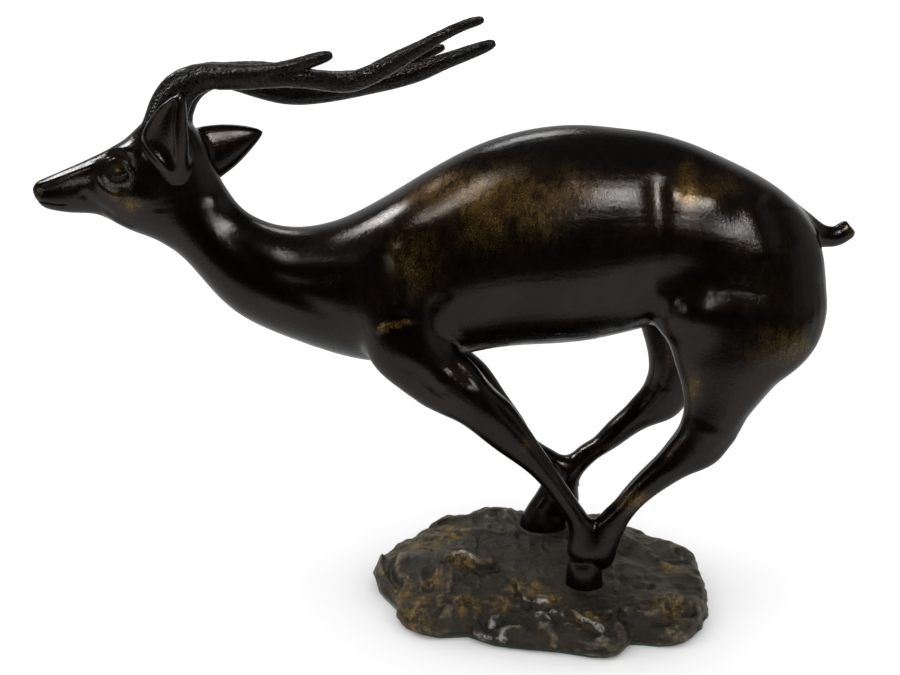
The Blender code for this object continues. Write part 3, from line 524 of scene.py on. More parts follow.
def draw(skin, strokes, bumps):
    """Works the strokes and bumps into both sides of a skin."""
    normals = skin.normals()
    flat = skin.points[:, [0, 2]]
    total = np.zeros(len(flat))
    for points, width, height in strokes:
        line = curve(points)
        reach = STROKE_REACH * width
        inside = np.all((flat > line.min(0) - reach) & (flat < line.max(0) + reach), axis=1)
        for side in (LEFT, RIGHT):
            near = np.flatnonzero(inside & (side * normals[:, 1] > FACING_FROM))
            if not len(near):
                continue
            away, _, place = line_distance(flat[near], line)
            fade = smoothstep(place, 0, STROKE_END) * smoothstep(1 - place, 0, STROKE_END)
            facing = smoothstep(side * normals[near, 1], FACING_FROM, FACING_FULL)
            total[near] += height * np.exp(-((away / width) ** 2)) * fade * facing
    for (x, z), (wide, tall), height in bumps:
        shape = np.exp(-(((flat[:, 0] - x) / wide) ** 2) - ((flat[:, 1] - z) / tall) ** 2)
        for side in (LEFT, RIGHT):
            total += height * shape * smoothstep(side * normals[:, 1], 0.0, FACING_FULL)
    skin.push(total)


def weather(skin, amount):
    """Slight dents and swells, as cast and hand-chased metal has."""
    swell = noise(skin.points, 17, 3) + 0.5 * noise(skin.points, 8, 4)
    skin.push(amount * swell)


# ---------------------------------------------------------------------------------------------
# Pieces


def add_piece(name, skin, cuts, material, replaced):
    """Cuts the skin on flat faces, closes it, and makes it the object that replaces CAD nodes."""
    mesh = bpy.data.meshes.new(name)
    mesh.from_pydata(skin.points * MM, [], skin.quads)
    normal_layer = mesh.attributes.new("skin", "FLOAT_VECTOR", "POINT")
    normal_layer.data.foreach_set("vector", skin.normals().astype(np.float32).ravel())
    for key, values in skin.values.items():
        layer = mesh.attributes.new(key, "FLOAT", "POINT")
        layer.data.foreach_set("value", values.astype(np.float32))
    shape = bmesh.new()
    shape.from_mesh(mesh)
    cap = shape.faces.layers.int.new("cap")
    for point, direction, zone in cuts:
        if callable(zone):
            at = np.array([v.co for v in shape.verts]) / MM
            chosen = zone(at)
            faces = [f for f in shape.faces if all(chosen[v.index] for v in f.verts)]
        else:
            faces = list(shape.faces)
        edges = {e for f in faces for e in f.edges}
        corners = {v for f in faces for v in f.verts}
        bmesh.ops.bisect_plane(
            shape,
            geom=faces + list(edges) + list(corners),
            dist=1e-7,
            plane_co=Vector(point) * MM,
            plane_no=Vector(direction),
            clear_outer=True,
        )
        rim = [e for e in shape.edges if e.is_boundary]
        if rim:
            made = bmesh.ops.holes_fill(shape, edges=rim, sides=0)["faces"]
            made = bmesh.ops.triangulate(shape, faces=made)["faces"]
            for face in made:
                face[cap] = 1
        shape.verts.index_update()
        shape.verts.ensure_lookup_table()
    shape.to_mesh(mesh)
    shape.free()
    mesh.shade_smooth()
    normals = np.empty(len(mesh.vertices) * 3, np.float32)
    mesh.attributes["skin"].data.foreach_get("vector", normals)
    corner = np.empty(len(mesh.loops), np.int32)
    mesh.loops.foreach_get("vertex_index", corner)
    normals = normals.reshape(-1, 3)[corner]
    capped = np.empty(len(mesh.polygons), np.int32)
    mesh.attributes["cap"].data.foreach_get("value", capped)
    for k in np.flatnonzero(capped):
        polygon = mesh.polygons[int(k)]
        normals[polygon.loop_start : polygon.loop_start + polygon.loop_total] = polygon.normal
    mesh.normals_split_custom_set(normals.tolist())
    mesh.attributes.remove(mesh.attributes["skin"])
    mesh.attributes.remove(mesh.attributes["cap"])
    mesh.materials.append(material)
    piece = bpy.data.objects.new(name, mesh)
    bpy.context.scene.collection.objects.link(piece)
    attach(piece, "root")
    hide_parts(*replaced)


def away_from(face):
    """The same flat cut, seen from the other piece."""
    point, direction = face
    return point, tuple(-v for v in direction)


def on_side(face, side, shift=0.0):
    """A limb's cut on the animal's left or right."""
    point, direction = face
    return (point[0] + shift, side * point[1], point[2]), (direction[0], side * direction[1], direction[2])


# Where the animal's patina is worn: x, z, radius in x, radius in z, strength.
WORN_ZONES = [
    (-26, 206, 36, 21, 0.60), (-60, 180, 14, 16, 0.60), (10, 214, 18, 12, 0.35),
    (65, 214, 6, 10, 1.0), (80, 213, 13, 6, 0.7), (-76.4, 148.8, 2.6, 1.7, 1.0),
    (-71, 151.2, 4.2, 1.5, 1.0), (-64.4, 152.4, 3.6, 1.3, 0.9), (133, 143, 5, 14, 1.0),
    (112, 140, 20, 11, 0.65), (-196, 202, 6, 5, 0.75), (-203, 208, 5, 5, 0.5),
    (-201, 220, 3.6, 2.6, 0.7), (-243, 207, 3, 4, 0.6), (149, 190, 3, 5, 0.5),
    (70, 120, 4, 11, 0.6), (44, 62, 12, 6, 0.8), (-7, 92, 6, 5, 0.4),
]  # fmt: skip


def rub_zones(skin):
    """How much the patina is worn to gold-brown at each point of the animal."""
    x, y, z = skin.points.T
    rub = np.zeros(len(x))
    for cx, cz, wide, tall, strength in WORN_ZONES:
        spot = np.exp(-(((x - cx) / wide) ** 2) - ((z - cz) / tall) ** 2)
        rub = np.maximum(rub, strength * spot)
    patch = 0.5 + 0.5 * noise(skin.points, 15, 11) + 0.3 * noise(skin.points, 6, 12)
    worn = rub * (0.40 + 0.75 * np.clip(patch, 0, 1))
    return np.clip(worn + 0.15 * skin.ridges(6, 0.35) * patch, 0, 1)


def finish_skin(skin, grain=0.0):
    skin.values["rub"] = rub_zones(skin)
    skin.values["grain"] = np.broadcast_to(np.asarray(grain, float), len(skin.points))


def fit_to(skin, other, faces):
    """Lays a skin on its neighbour's near the cuts where they meet, so that no step shows."""
    target = BVHTree.FromPolygons(other.points.tolist(), other.quads.tolist())
    for point, direction in faces:
        direction = np.array(direction, float) / np.linalg.norm(direction)
        away = np.abs((skin.points - np.array(point)) @ direction)
        for k in np.flatnonzero(away < SEAM_REACH):
            place, _, _, gap = target.find_nearest(Vector(skin.points[k]), SEAM_GAP)
            if place is None:
                continue
            share = 1 - smoothstep(away[k], SEAM_REACH / 3, SEAM_REACH)
            share *= 1 - smoothstep(gap, SEAM_GAP / 2, SEAM_GAP)
            skin.points[k] += share * (np.array(place) - skin.points[k])


def build_body(bronze):
    block = Block((-122, -46, 90), (144, 46, 246), 0.9)
    names = ["trunk", "tail", "foreleg_left", "foreleg_right", "hindleg_left", "hindleg_right"]
    whole, own = sculpt(block, names)
    skin = block.skin(whole, 6)
    cuts = [(*away_from(NECK_FACE), None)]

    def near(name):
        return lambda at: block.sample(own[name], at) < CUT_REACH

    def fore_zone(limb):
        return lambda at: limb(at) & (at[:, 2] < 150) & (at[:, 0] < 20)

    def hind_zone(limb):
        return lambda at: limb(at) & (at[:, 2] < 125) & (at[:, 0] > 30)

    def tail_zone(at):
        return near("tail")(at) & (at[:, 0] > 128) & (np.abs(at[:, 1]) < 9) & (at[:, 2] > 177)

    for name, side, fore_shift, hind_shift in (
        ("left", LEFT, 0, 0),
        ("right", RIGHT, RIGHT_FORE_CUT_SHIFT, RIGHT_HIND_CUT_SHIFT),
    ):
        cuts.append((*on_side(FORE_FACE, side, fore_shift), fore_zone(near(f"foreleg_{name}"))))
        cuts.append((*on_side(HIND_FACE, side, hind_shift), hind_zone(near(f"hindleg_{name}"))))
    cuts.append((*TAIL_FACE, tail_zone))
    draw(skin, STROKES, BUMPS)
    weather(skin, 0.10)
    finish_skin(skin)
    add_piece("torso", skin, cuts, bronze, ["torso_shell"])
    return skin


def build_neck(body, bronze):
    block = Block((-196, -34, 120), (-88, 34, 240), 0.7)
    whole, _ = sculpt(block, ["trunk", "skull", "foreleg_left", "foreleg_right"])
    skin = block.skin(whole, 6)
    draw(skin, STROKES, BUMPS)
    weather(skin, 0.10)
    fit_to(skin, body, [NECK_FACE])
    finish_skin(skin)
    cuts = [(*NECK_FACE, None), (*away_from(HEAD_FACE), None)]
    add_piece("neck", skin, cuts, bronze, ["neck_shell"])
    return skin


HEAD_STROKES = [
    # Upper lid, lower lid, and the fold above the eye.
    ([(-208.2, 219.2), (-205.6, 222.4), (-201.4, 223.6), (-197, 221.8), (-192.6, 217.4), (-188, 214)],
     0.8, 0.3),
    ([(-207.8, 216.6), (-203.6, 215.2), (-199, 215.4), (-195.4, 217)], 0.7, 0.24),
    ([(-209, 223.4), (-204.4, 226.1), (-198.6, 225.4), (-193.6, 221.6)], 1.1, -0.3),
    ([(-206.6, 213.6), (-201, 212.6), (-195, 214)], 1.1, -0.18),
    # Mouth and the muzzle's upper edge.
    ([(-245, 203.4), (-239, 202.4), (-233, 201.6), (-227, 202.2)], 0.55, -0.55),
    ([(-244, 210.4), (-235, 213.2), (-224, 217.2), (-212, 221.8)], 1.0, 0.4),
    # Cheekbone, and the hollow ahead of the jaw.
    ([(-211.5, 219), (-211.5, 215), (-209.4, 210.6), (-205, 207.6), (-199, 206.6)], 2.4, 0.5),
    ([(-222, 209), (-217, 204), (-211, 199), (-205, 195)], 2.8, -0.6),
    ([(-190, 214), (-184.5, 207), (-183.5, 198)], 4.2, -0.3),
    ([(-213, 199.5), (-205, 194), (-196, 190)], 1.6, 0.6),
]
HEAD_BUMPS = [
    ((-201.4, 219.8), (7.0, 5.0), -0.7),
    ((-201.6, 219.6), (4.0, 3.1), 1.25),
    ((-199.5, 228.2), (8, 3.0), 1.1),
    ((-190.5, 207), (6, 6), 1.0),
    ((-242.6, 207.4), (1.2, 1.0), -0.9),
    ((-187, 225), (4, 5), -0.5),
]


def build_head(neck, bronze):
    block = Block((-250, -26, 172), (-140, 26, 262), 0.42)
    whole, own = sculpt(block, ["trunk", "skull", "stem_left", "stem_right"])
    skin = block.skin(whole, 5)
    draw(skin, HEAD_STROKES, HEAD_BUMPS)
    weather(skin, 0.06)
    fit_to(skin, neck, [HEAD_FACE])
    finish_skin(skin, grain_of(skin))
    stems = np.minimum(own["stem_left"], own["stem_right"])
    cuts = [
        (*STEM_FACE, lambda at: (at[:, 2] > 238) & (block.sample(stems, at) < 1.5)),
        (*HEAD_FACE, lambda at: at[:, 2] < 246),
    ]
    add_piece("head", skin, cuts, bronze, ["head_casting"])


def grain_of(skin):
    """The antlers are grainy on top and smooth beneath."""
    up = skin.normals()[:, 2]
    x, y, z = skin.points.T
    return smoothstep(z, 236, 252) * (0.35 + 0.65 * smoothstep(up, -0.35, 0.5))


def build_antler(name, side, bronze):
    block = Block((-196, min(side * 2, side * 25), 232), (-20, max(side * 2, side * 25), 292), 0.42)
    names = ["skull", f"stem_{name}", f"tine_{name}", f"beam_{name}"]
    whole, own = sculpt(block, names)
    skin = block.skin(whole, 3)
    grain = grain_of(skin)
    skin.push(0.10 * grain * noise(skin.points, 1.3, 21))
    weather(skin, 0.08)
    finish_skin(skin, grain)
    cuts = [(*away_from(STEM_FACE), None)]
    add_piece(f"antler_{name}_horn", skin, cuts, bronze, [f"antler_{name}"])


def build_ear(name, side, bronze):
    block = Block((-192, min(side * 2, side * 28), 206), (-132, max(side * 2, side * 28), 260), 0.36)
    ear = block.solid(MUSCLES[f"ear_{name}"])
    head = np.minimum(block.solid(MUSCLES["skull"]), block.solid(MUSCLES["trunk"]))
    if name == "left":
        ear = -blended(-ear, block.solid(MUSCLES["ear_left_cup"]), 2.0)
    field = np.maximum(blended(head, ear, BLEND["ear"]), ear - 0.8 * BLEND["ear"])
    skin = block.skin(field, 6)
    weather(skin, 0.06)
    finish_skin(skin)
    add_piece(f"ear_{name}_leaf", skin, [], bronze, [f"ear_{name}"])


def build_legs(name, side, body, bronze):
    low_y, high_y = sorted((side * 12, side * 50))
    block = Block((-94, low_y, 10), (116, high_y, 142), 0.55)
    names = ["trunk", f"foreleg_{name}", f"hindleg_{name}", f"hoof_{name}"]
    whole, _ = sculpt(block, names)
    skin = block.skin(whole, 4)
    draw(skin, STROKES, BUMPS)
    weather(skin, 0.10)
    heel = LEFT_HEEL if side == LEFT else RIGHT_HEEL
    sole = LEFT_SOLE if side == LEFT else RIGHT_SOLE
    fore_face = on_side(FORE_FACE, side, 0 if side == LEFT else RIGHT_FORE_CUT_SHIFT)
    hind_face = on_side(HIND_FACE, side, 0 if side == LEFT else RIGHT_HIND_CUT_SHIFT)
    fit_to(skin, body, [fore_face, hind_face])
    finish_skin(skin)
    for limb, face, forward in (("foreleg", fore_face, 1), ("hindleg", hind_face, -1)):
        cuts = [
            ((heel, 0, 0), (forward, 0, 0), None),
            (*away_from(face), None),
            ((0, 0, sole), (0, 0, -1), None),
        ]
        add_piece(f"{limb}_{name}_cast", skin, cuts, bronze, [f"{limb}_{name}"])


def build_tail(body, bronze):
    block = Block((104, -24, 160), (156, 24, 212), 0.6)
    whole, _ = sculpt(block, ["trunk", "tail", "hindleg_left", "hindleg_right"])
    skin = block.skin(whole, 4)
    weather(skin, 0.05)
    fit_to(skin, body, [TAIL_FACE])
    finish_skin(skin)
    cuts = [(*away_from(TAIL_FACE), None), ((0, 0, 177.5), (0, 0, -1), None)]
    add_piece("tail", skin, cuts, bronze, ["tail_casting"])


# ---------------------------------------------------------------------------------------------
# The base

BASE_OUTLINE = [
    (-85, -4), (-79.8, -20), (-72.5, -33), (-68.5, -50.5), (-52, -60.5), (-38, -60),
    (-25, -69), (-9, -72.5), (6, -75), (22, -79.5), (34, -78), (42, -67.5),
    (56, -69), (69, -64.5), (78.5, -50.5), (84.4, -31), (85, -8), (84, 12),
    (68, 31.5), (54, 49), (35, 57), (12, 62), (-12, 60), (-34, 56),
    (-52, 49.5), (-66.5, 28.5), (-81.5, 13),
]  # fmt: skip
BASE_CENTRE = (2.0, -6.0)
# The base's section from the middle out and down to the rim: share of the radius, and height.
BASE_SECTION = [
    (0.0, 17.2), (0.22, 17), (0.45, 16.2), (0.66, 15.2), (0.82, 14.2),
    (0.92, 12.9), (0.975, 11.2), (1.0, 8.8), (1.005, 5.6), (0.995, 3), (0.985, 1.8),
]  # fmt: skip
BASE_LUMPS = [
    (-10, 38, 6, 24), (30, 34, 4, 20), (-40, -8, 2.5, 14),
    (62, -48, 3, 12), (-72, -8, 2.5, 10), (22, -33, 1.5, 12),
]  # fmt: skip
# Strokes on the rock: points (x, y), width, ridge height, and the step down to the line's left.
ROCK_STROKES = [
    ([(-50, -11), (-44, -12.5), (-38, -13), (-31, -18), (-25, -17.5), (-19, -15)], 1.6, 1.6, 1.6),
    ([(-45, -5), (-36, -2), (-28, -6)], 3.0, -2.2, 0.0),
    ([(-76, -49), (-68, -56), (-62, -61), (-52, -62), (-47, -57), (-38, -56)], 1.8, 1.4, -1.4),
    ([(-34, -60), (-28, -68), (-18, -68), (-6, -72)], 1.8, 1.4, -1.2),
    ([(-39, -55), (-36, -49), (-33, -50)], 2.2, -2.6, 0.0),
    ([(-18, -26), (-12, -36), (-10, -47), (-4, -53), (6, -52)], 1.5, 1.1, 0.9),
    ([(12, -58), (18, -66), (23, -71), (27, -74)], 2.0, 1.5, 0.6),
    ([(-4, -56), (4, -62), (8, -68)], 2.4, -1.2, 0.0),
    ([(34, -62), (40, -64), (46, -64), (51, -63), (55, -60)], 1.5, 1.2, 1.4),
    ([(55, -64), (57, -57), (64, -53), (72, -53), (77, -57)], 1.8, 2.6, 1.2),
    ([(60, -60), (66, -57), (72, -58)], 2.4, -1.4, 0.0),
    ([(-72, -4), (-75, -12), (-73, -22), (-68, -30)], 1.8, -2.2, 0.6),
    ([(-80, 2), (-82, -8), (-78, -18)], 2.6, 1.8, 0.0),
    ([(-60, 38), (-46, 43), (-30, 40), (-14, 44)], 3.2, 1.6, 0.8),
    ([(-54, 14), (-40, 22), (-22, 20), (-8, 12)], 4.0, 1.0, 0.8),
    ([(40, 26), (54, 14), (64, -2), (70, -14)], 4.0, 1.2, -0.6),
    ([(76, 10), (80, 2), (78, -8)], 2.4, -1.4, 0.0),
    ([(38, -26), (48, -34), (58, -36)], 3.0, -0.9, 0.0),
]
# Where each pair of hooves stands: x, y, sole height, and the radius of the seat round them.
FEET = ((22.0, -33.0, LEFT_SOLE, 9.7), (7.0, 33.0, RIGHT_SOLE, 12.9))
BASE_BOTTOM = 1.9
BASE_AROUND, BASE_INWARD = 480, 180  # points round the base, and from its middle to its rim
# Where the base is rubbed to gold-brown, and where it is scraped bright: x, y, radius.
WARM_SPOTS = [
    (-8, -38, 10), (-38, -14, 9), (-64, -56, 11), (-37, -52, 8), (-22, -50, 8),
    (68, -15, 7), (20, -64, 8), (-46, 24, 12), (-58, 8, 10), (60, -56, 9),
    (-72, -34, 9), (-60, -44, 8), (-52, -30, 8), (4, -48, 7),
]  # fmt: skip
SCRAPED_SPOTS = [(-2, -55, 10), (4, -62, 9), (-25, -66, 8), (22, -70, 8), (-38, -16, 6)]


def base_outline(turns):
    """The outline's radius at each angle round the base's centre."""
    line = np.array(BASE_OUTLINE, float) - BASE_CENTRE
    closed = np.concatenate([line[-3:], line, line[:3]])
    fine = spline(closed, 700)[70:-70]
    angle = np.unwrap(np.arctan2(fine[:, 1], fine[:, 0]))
    order = np.argsort(angle % (2 * np.pi))
    radius = np.hypot(*fine.T)
    return np.interp(turns, (angle % (2 * np.pi))[order], radius[order], period=2 * np.pi)


def spots(skin, places):
    """From 0 to 1 round the places given by x, y and radius."""
    out = np.zeros(len(skin.points))
    for x, y, wide in places:
        away = (skin.points[:, 0] - x) ** 2 + (skin.points[:, 1] - y) ** 2
        out = np.maximum(out, np.exp(-away / wide**2))
    return out


def build_base(material):
    around, inward = BASE_AROUND, BASE_INWARD
    turns = np.linspace(0, 2 * np.pi, around, endpoint=False)
    section = np.array(BASE_SECTION)
    run = np.concatenate([[0], np.cumsum(np.hypot(np.diff(section[:, 0]) * 70, np.diff(section[:, 1])))])
    places = np.linspace(0, run[-1], inward)
    share = np.interp(places, run, section[:, 0])
    height = np.interp(places, run, section[:, 1])
    for _ in range(3):
        height[1:-1] = (height[:-2] + 2 * height[1:-1] + height[2:]) / 4
        share[1:-1] = (share[:-2] + 2 * share[1:-1] + share[2:]) / 4
    round_about = np.stack([np.cos(turns), np.sin(turns), np.zeros(around)], -1)
    radius = base_outline(turns)
    radius = radius + 0.9 * noise(80 * round_about, 14, 35) + 0.5 * noise(80 * round_about, 6, 36)
    x = BASE_CENTRE[0] + np.outer(share[1:], radius * np.cos(turns))
    y = BASE_CENTRE[1] + np.outer(share[1:], radius * np.sin(turns))
    points = np.stack([x, y, np.broadcast_to(height[1:, None], x.shape)], -1).reshape(-1, 3)
    points = np.concatenate([points, [(*BASE_CENTRE, height[0])]])
    count = inward - 1
    ring, k = np.meshgrid(np.arange(count - 1), np.arange(around), indexing="ij")
    n = (k + 1) % around
    inner, outer = ring * around, (ring + 1) * around
    quads = np.stack([inner + k, outer + k, outer + n, inner + n], -1).reshape(-1, 4)
    middle = len(points) - 1
    k = np.arange(0, around, 2)
    fan = np.stack([np.full(len(k), middle), k, (k + 1) % around, (k + 2) % around], -1)
    skin = Skin(points, np.concatenate([quads, fan]))
    flat = points[:, :2]
    up = smoothstep(points[:, 2], 4.0, 11.0)
    rise = np.zeros(len(points))
    for cx, cy, tall, wide in BASE_LUMPS:
        rise += tall * np.exp(-((flat[:, 0] - cx) ** 2 + (flat[:, 1] - cy) ** 2) / wide**2)
    ground = np.c_[flat, np.zeros(len(flat))]
    rise += 2.0 * noise(ground, 21, 31) + 1.8 * np.abs(noise(ground, 12, 32))
    rise -= 1.5 * np.abs(noise(ground, 7, 37))
    for line, wide, ridge, step in ROCK_STROKES:
        away, side, place = line_distance(flat, curve(line))
        fade = smoothstep(place, 0, 0.15) * smoothstep(1 - place, 0, 0.15)
        rise += 1.5 * ridge * np.exp(-((away / (0.75 * wide)) ** 2)) * fade
        fade = fade * smoothstep(away, 0, 0.7 * wide) * np.exp(-((away / (4 * wide)) ** 2))
        rise += 1.5 * step * side * fade
    for cx, cy, sole, seat in FEET:
        away = np.hypot(flat[:, 0] - cx, flat[:, 1] - cy)
        level = 1 - smoothstep(away, seat - 0.5, seat + 9)
        target = sole - 0.1 - points[:, 2] - 0.4 * smoothstep(away, seat + 1, seat + 4)
        rise = rise * (1 - level) + target * level
        rise += 1.0 * np.exp(-(((away - seat) / 0.65) ** 2))
    skin.points[:, 2] += rise * up
    skin.relax(1)
    clear = np.ones(len(points))
    for cx, cy, _, seat in FEET:
        away = np.hypot(flat[:, 0] - cx, flat[:, 1] - cy)
        clear *= 0.15 + 0.85 * smoothstep(away, seat + 0.5, seat + 2.5)
    bend = 0.55 * noise(skin.points, 5.0, 33) + 0.22 * noise(skin.points, 2.2, 34)
    bend -= 0.30 * np.abs(noise(skin.points, 3.6, 38))
    edge = smoothstep(skin.points[:, 2], 2.0, 4.0)
    skin.push(bend * edge * clear * (2.2 - 1.2 * up))
    skin.values["ridge"] = skin.ridges(12, 0.55)
    skin.values["warm"] = spots(skin, WARM_SPOTS)
    skin.values["scrape"] = spots(skin, SCRAPED_SPOTS)
    cuts = [((0, 0, BASE_BOTTOM), (0, 0, -1), None)]
    add_piece("rock_base", skin, cuts, material, ["base_shell"])


# ---------------------------------------------------------------------------------------------
# Materials


class Nodes:
    """A node tree, with short ways to add and join nodes."""

    def __init__(self, tree, place):
        self.tree = tree
        self.place = self.add("ShaderNodeTexCoord").outputs[place]

    def add(self, kind, **settings):
        node = self.tree.nodes.new(kind)
        for key, value in settings.items():
            setattr(node, key, value)
        return node

    def join(self, source, target):
        self.tree.links.new(source, target)

    def scaled(self, scale):
        node = self.add("ShaderNodeMapping")
        node.inputs["Scale"].default_value = scale
        self.join(self.place, node.inputs["Vector"])
        return node.outputs["Vector"]

    def noise(self, scale, detail=2.0, rough=0.5, stretch=(1, 1, 1)):
        node = self.add("ShaderNodeTexNoise")
        node.inputs["Scale"].default_value = scale
        node.inputs["Detail"].default_value = detail
        node.inputs["Roughness"].default_value = rough
        self.join(self.scaled(stretch), node.inputs["Vector"])
        return node.outputs["Fac"]

    def value(self, name):
        return self.add("ShaderNodeAttribute", attribute_name=name).outputs["Fac"]

    def maths(self, operation, first, second=None, third=None, clamp=False):
        node = self.add("ShaderNodeMath", operation=operation, use_clamp=clamp)
        for socket, item in zip(node.inputs, (first, second, third)):
            if item is None:
                continue
            if isinstance(item, (int, float)):
                socket.default_value = item
            else:
                self.join(item, socket)
        return node.outputs[0]

    def between(self, source, low, high, out_low=0.0, out_high=1.0):
        node = self.add("ShaderNodeMapRange", interpolation_type="SMOOTHSTEP")
        self.join(source, node.inputs["Value"])
        ends = {"From Min": low, "From Max": high, "To Min": out_low, "To Max": out_high}
        for key, value in ends.items():
            node.inputs[key].default_value = value
        return node.outputs["Result"]

    def mixed(self, factor, first, second):
        node = self.add("ShaderNodeMix", data_type="RGBA")
        self.join(factor, node.inputs["Factor"])
        for socket, colour in ((node.inputs[6], first), (node.inputs[7], second)):
            if isinstance(colour, tuple):
                socket.default_value = (*colour, 1)
            else:
                self.join(colour, socket)
        return node.outputs[2]

    def bump(self, height, strength, distance, before=None):
        node = self.add("ShaderNodeBump")
        node.inputs["Strength"].default_value = strength
        node.inputs["Distance"].default_value = distance
        self.join(height, node.inputs["Height"])
        if before is not None:
            self.join(before, node.inputs["Normal"])
        return node.outputs["Normal"]


class Shader(Nodes):
    """A material."""

    def __init__(self, name):
        self.material = bpy.data.materials.new(name)
        self.material.use_nodes = True
        super().__init__(self.material.node_tree, "Object")
        self.surface = self.tree.nodes["Principled BSDF"]

    def to(self, socket, source):
        self.join(source, self.surface.inputs[socket])

    def set(self, **values):
        for key, value in values.items():
            self.surface.inputs[key.replace("_", " ")].default_value = value


def make_bronze():
    """Near-black lacquered patina that is rubbed through to gold-brown specks."""
    s = Shader("patinated_bronze_skin")
    s.set(Metallic=0.8, Coat_Weight=0.36, Coat_Roughness=0.10, Coat_IOR=1.5)
    s.surface.inputs["Specular Tint"].default_value = (0.22, 0.18, 0.15, 1)
    rub, grain = s.value("rub"), s.value("grain")
    cloud = s.noise(32, 3.0, 0.6)
    streak = s.noise(300, 3.0, 0.6, (1, 1, 0.4))
    speck = s.noise(2300, 3.0, 0.62)
    ground = s.mixed(s.between(cloud, 0.38, 0.68), (0.0030, 0.0020, 0.0013), (0.0088, 0.0049, 0.0020))
    worn = s.maths("MULTIPLY", rub, s.between(streak, 0.30, 0.62, 0.60, 1.0))
    colour = s.mixed(s.between(worn, 0.05, 0.80, 0.0, 0.9), ground, (0.031, 0.0185, 0.0055))
    dots = s.maths("ADD", speck, s.maths("MULTIPLY", worn, 0.16))
    dots = s.maths("MULTIPLY", s.between(dots, 0.54, 0.74), s.between(worn, 0.04, 0.40))
    colour = s.mixed(s.maths("MULTIPLY", dots, 0.8), colour, (0.170, 0.104, 0.028))
    s.to("Base Color", colour)
    rough = s.maths("ADD", s.between(streak, 0.3, 0.7, 0.25, 0.33), s.maths("MULTIPLY", grain, 0.04))
    s.to("Roughness", rough)
    peel = s.noise(620, 2.0, 0.55)
    stipple = s.noise(1700, 2.0, 0.6)
    pits = s.maths("MULTIPLY", s.between(s.noise(820, 3.0, 0.65), 0.44, 0.62), grain)
    skin = s.bump(stipple, 0.28, 0.0003, s.bump(peel, 0.15, 0.0005))
    s.to("Normal", s.bump(pits, 1.0, 0.0009, skin))
    coat = s.bump(stipple, 0.26, 0.0003, s.bump(peel, 0.13, 0.0005))
    s.to("Coat Normal", s.bump(pits, 1.0, 0.0009, coat))
    return s.material


def make_rock():
    """The base's duller brown-black, worn to tan and gold on its ridges."""
    s = Shader("base_bronze_rock")
    s.set(Metallic=0.6, Coat_Weight=0.16, Coat_Roughness=0.24)
    s.surface.inputs["Specular Tint"].default_value = (0.6, 0.55, 0.45, 1)
    ridge, warm, scrape = s.value("ridge"), s.value("warm"), s.value("scrape")
    cloud = s.noise(55, 4.0, 0.62)
    speck = s.noise(1300, 3.0, 0.65)
    blotch = s.noise(240, 4.0, 0.65)
    ground = s.mixed(s.between(cloud, 0.36, 0.66), (0.0175, 0.0160, 0.0120), (0.036, 0.031, 0.0195))
    ground = s.mixed(s.between(speck, 0.35, 0.65, 0.0, 0.5), ground, (0.008, 0.0072, 0.0055))
    tan = s.maths("MULTIPLY", s.between(ridge, 0.25, 0.9), s.between(blotch, 0.38, 0.60, 0.1, 0.85))
    tan = s.maths("MULTIPLY", tan, s.between(speck, 0.38, 0.56, 0.4, 1.0))
    colour = s.mixed(tan, ground, (0.165, 0.130, 0.075))
    gold = s.maths("MULTIPLY", s.between(warm, 0.12, 0.85), s.between(blotch, 0.42, 0.62))
    gold = s.maths("MULTIPLY", gold, s.between(speck, 0.42, 0.56, 0.2, 1.0))
    colour = s.mixed(s.maths("MULTIPLY", gold, 0.9), colour, (0.25, 0.150, 0.034))
    scratch = s.noise(620, 4.0, 0.7)
    bright = s.maths("MULTIPLY", s.between(scrape, 0.10, 0.7), s.between(ridge, 0.12, 0.7))
    bright = s.maths("MULTIPLY", bright, s.between(scratch, 0.42, 0.58))
    colour = s.mixed(s.maths("MULTIPLY", bright, 0.85), colour, (0.40, 0.40, 0.38))
    s.to("Base Color", colour)
    dull = s.maths("SUBTRACT", s.between(cloud, 0.3, 0.7, 0.38, 0.52), s.maths("MULTIPLY", bright, 0.18))
    s.to("Roughness", dull)
    rough = s.bump(s.noise(430, 5.0, 0.7), 0.9, 0.0013)
    s.to("Normal", s.bump(speck, 0.6, 0.0004, rough))
    s.to("Coat Normal", s.bump(speck, 0.4, 0.0004, rough))
    return s.material


def make_metal(name, dark, light, roughness):
    """A plain worked metal with turning marks, for the hidden dowels and fasteners."""
    s = Shader(name)
    s.set(Metallic=1.0)
    marks = s.noise(900, 2.0, 0.5, (1, 1, 6))
    s.to("Base Color", s.mixed(s.between(marks, 0.3, 0.7), dark, light))
    s.to("Roughness", s.between(marks, 0.3, 0.7, roughness - 0.06, roughness + 0.06))
    s.to("Normal", s.bump(marks, 0.2, 0.0002))
    return s.material


def make_felt():
    s = Shader("green_felt")
    s.set(Roughness=0.95, Sheen_Weight=0.4, Sheen_Roughness=0.5)
    fibre = s.noise(2200, 4.0, 0.7)
    green = s.mixed(s.between(fibre, 0.35, 0.65), (0.006, 0.026, 0.014), (0.016, 0.060, 0.034))
    s.to("Base Color", green)
    s.to("Normal", s.bump(fibre, 0.6, 0.0004))
    return s.material


def finish_nodes():
    """Materials for the CAD nodes that stay: dowels, pins, fasteners and the felt."""
    brass = make_metal("dowel_brass", (0.30, 0.17, 0.06), (0.48, 0.30, 0.12), 0.34)
    steel = make_metal("fastener_steel", (0.32, 0.32, 0.33), (0.58, 0.58, 0.60), 0.32)
    felt = make_felt()
    for name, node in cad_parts.items():
        if name == "felt_sheet":
            material, slot = felt, "base_felt"
        elif name.startswith(("base_stud", "base_washer", "base_nut")):
            material, slot = steel, "fastener_steel"
        elif "dowel" in name or "pin" in name:
            material, slot = brass, "dowel_bronze"
        else:
            continue
        node.data.materials.clear()
        node.data.materials.append(material)


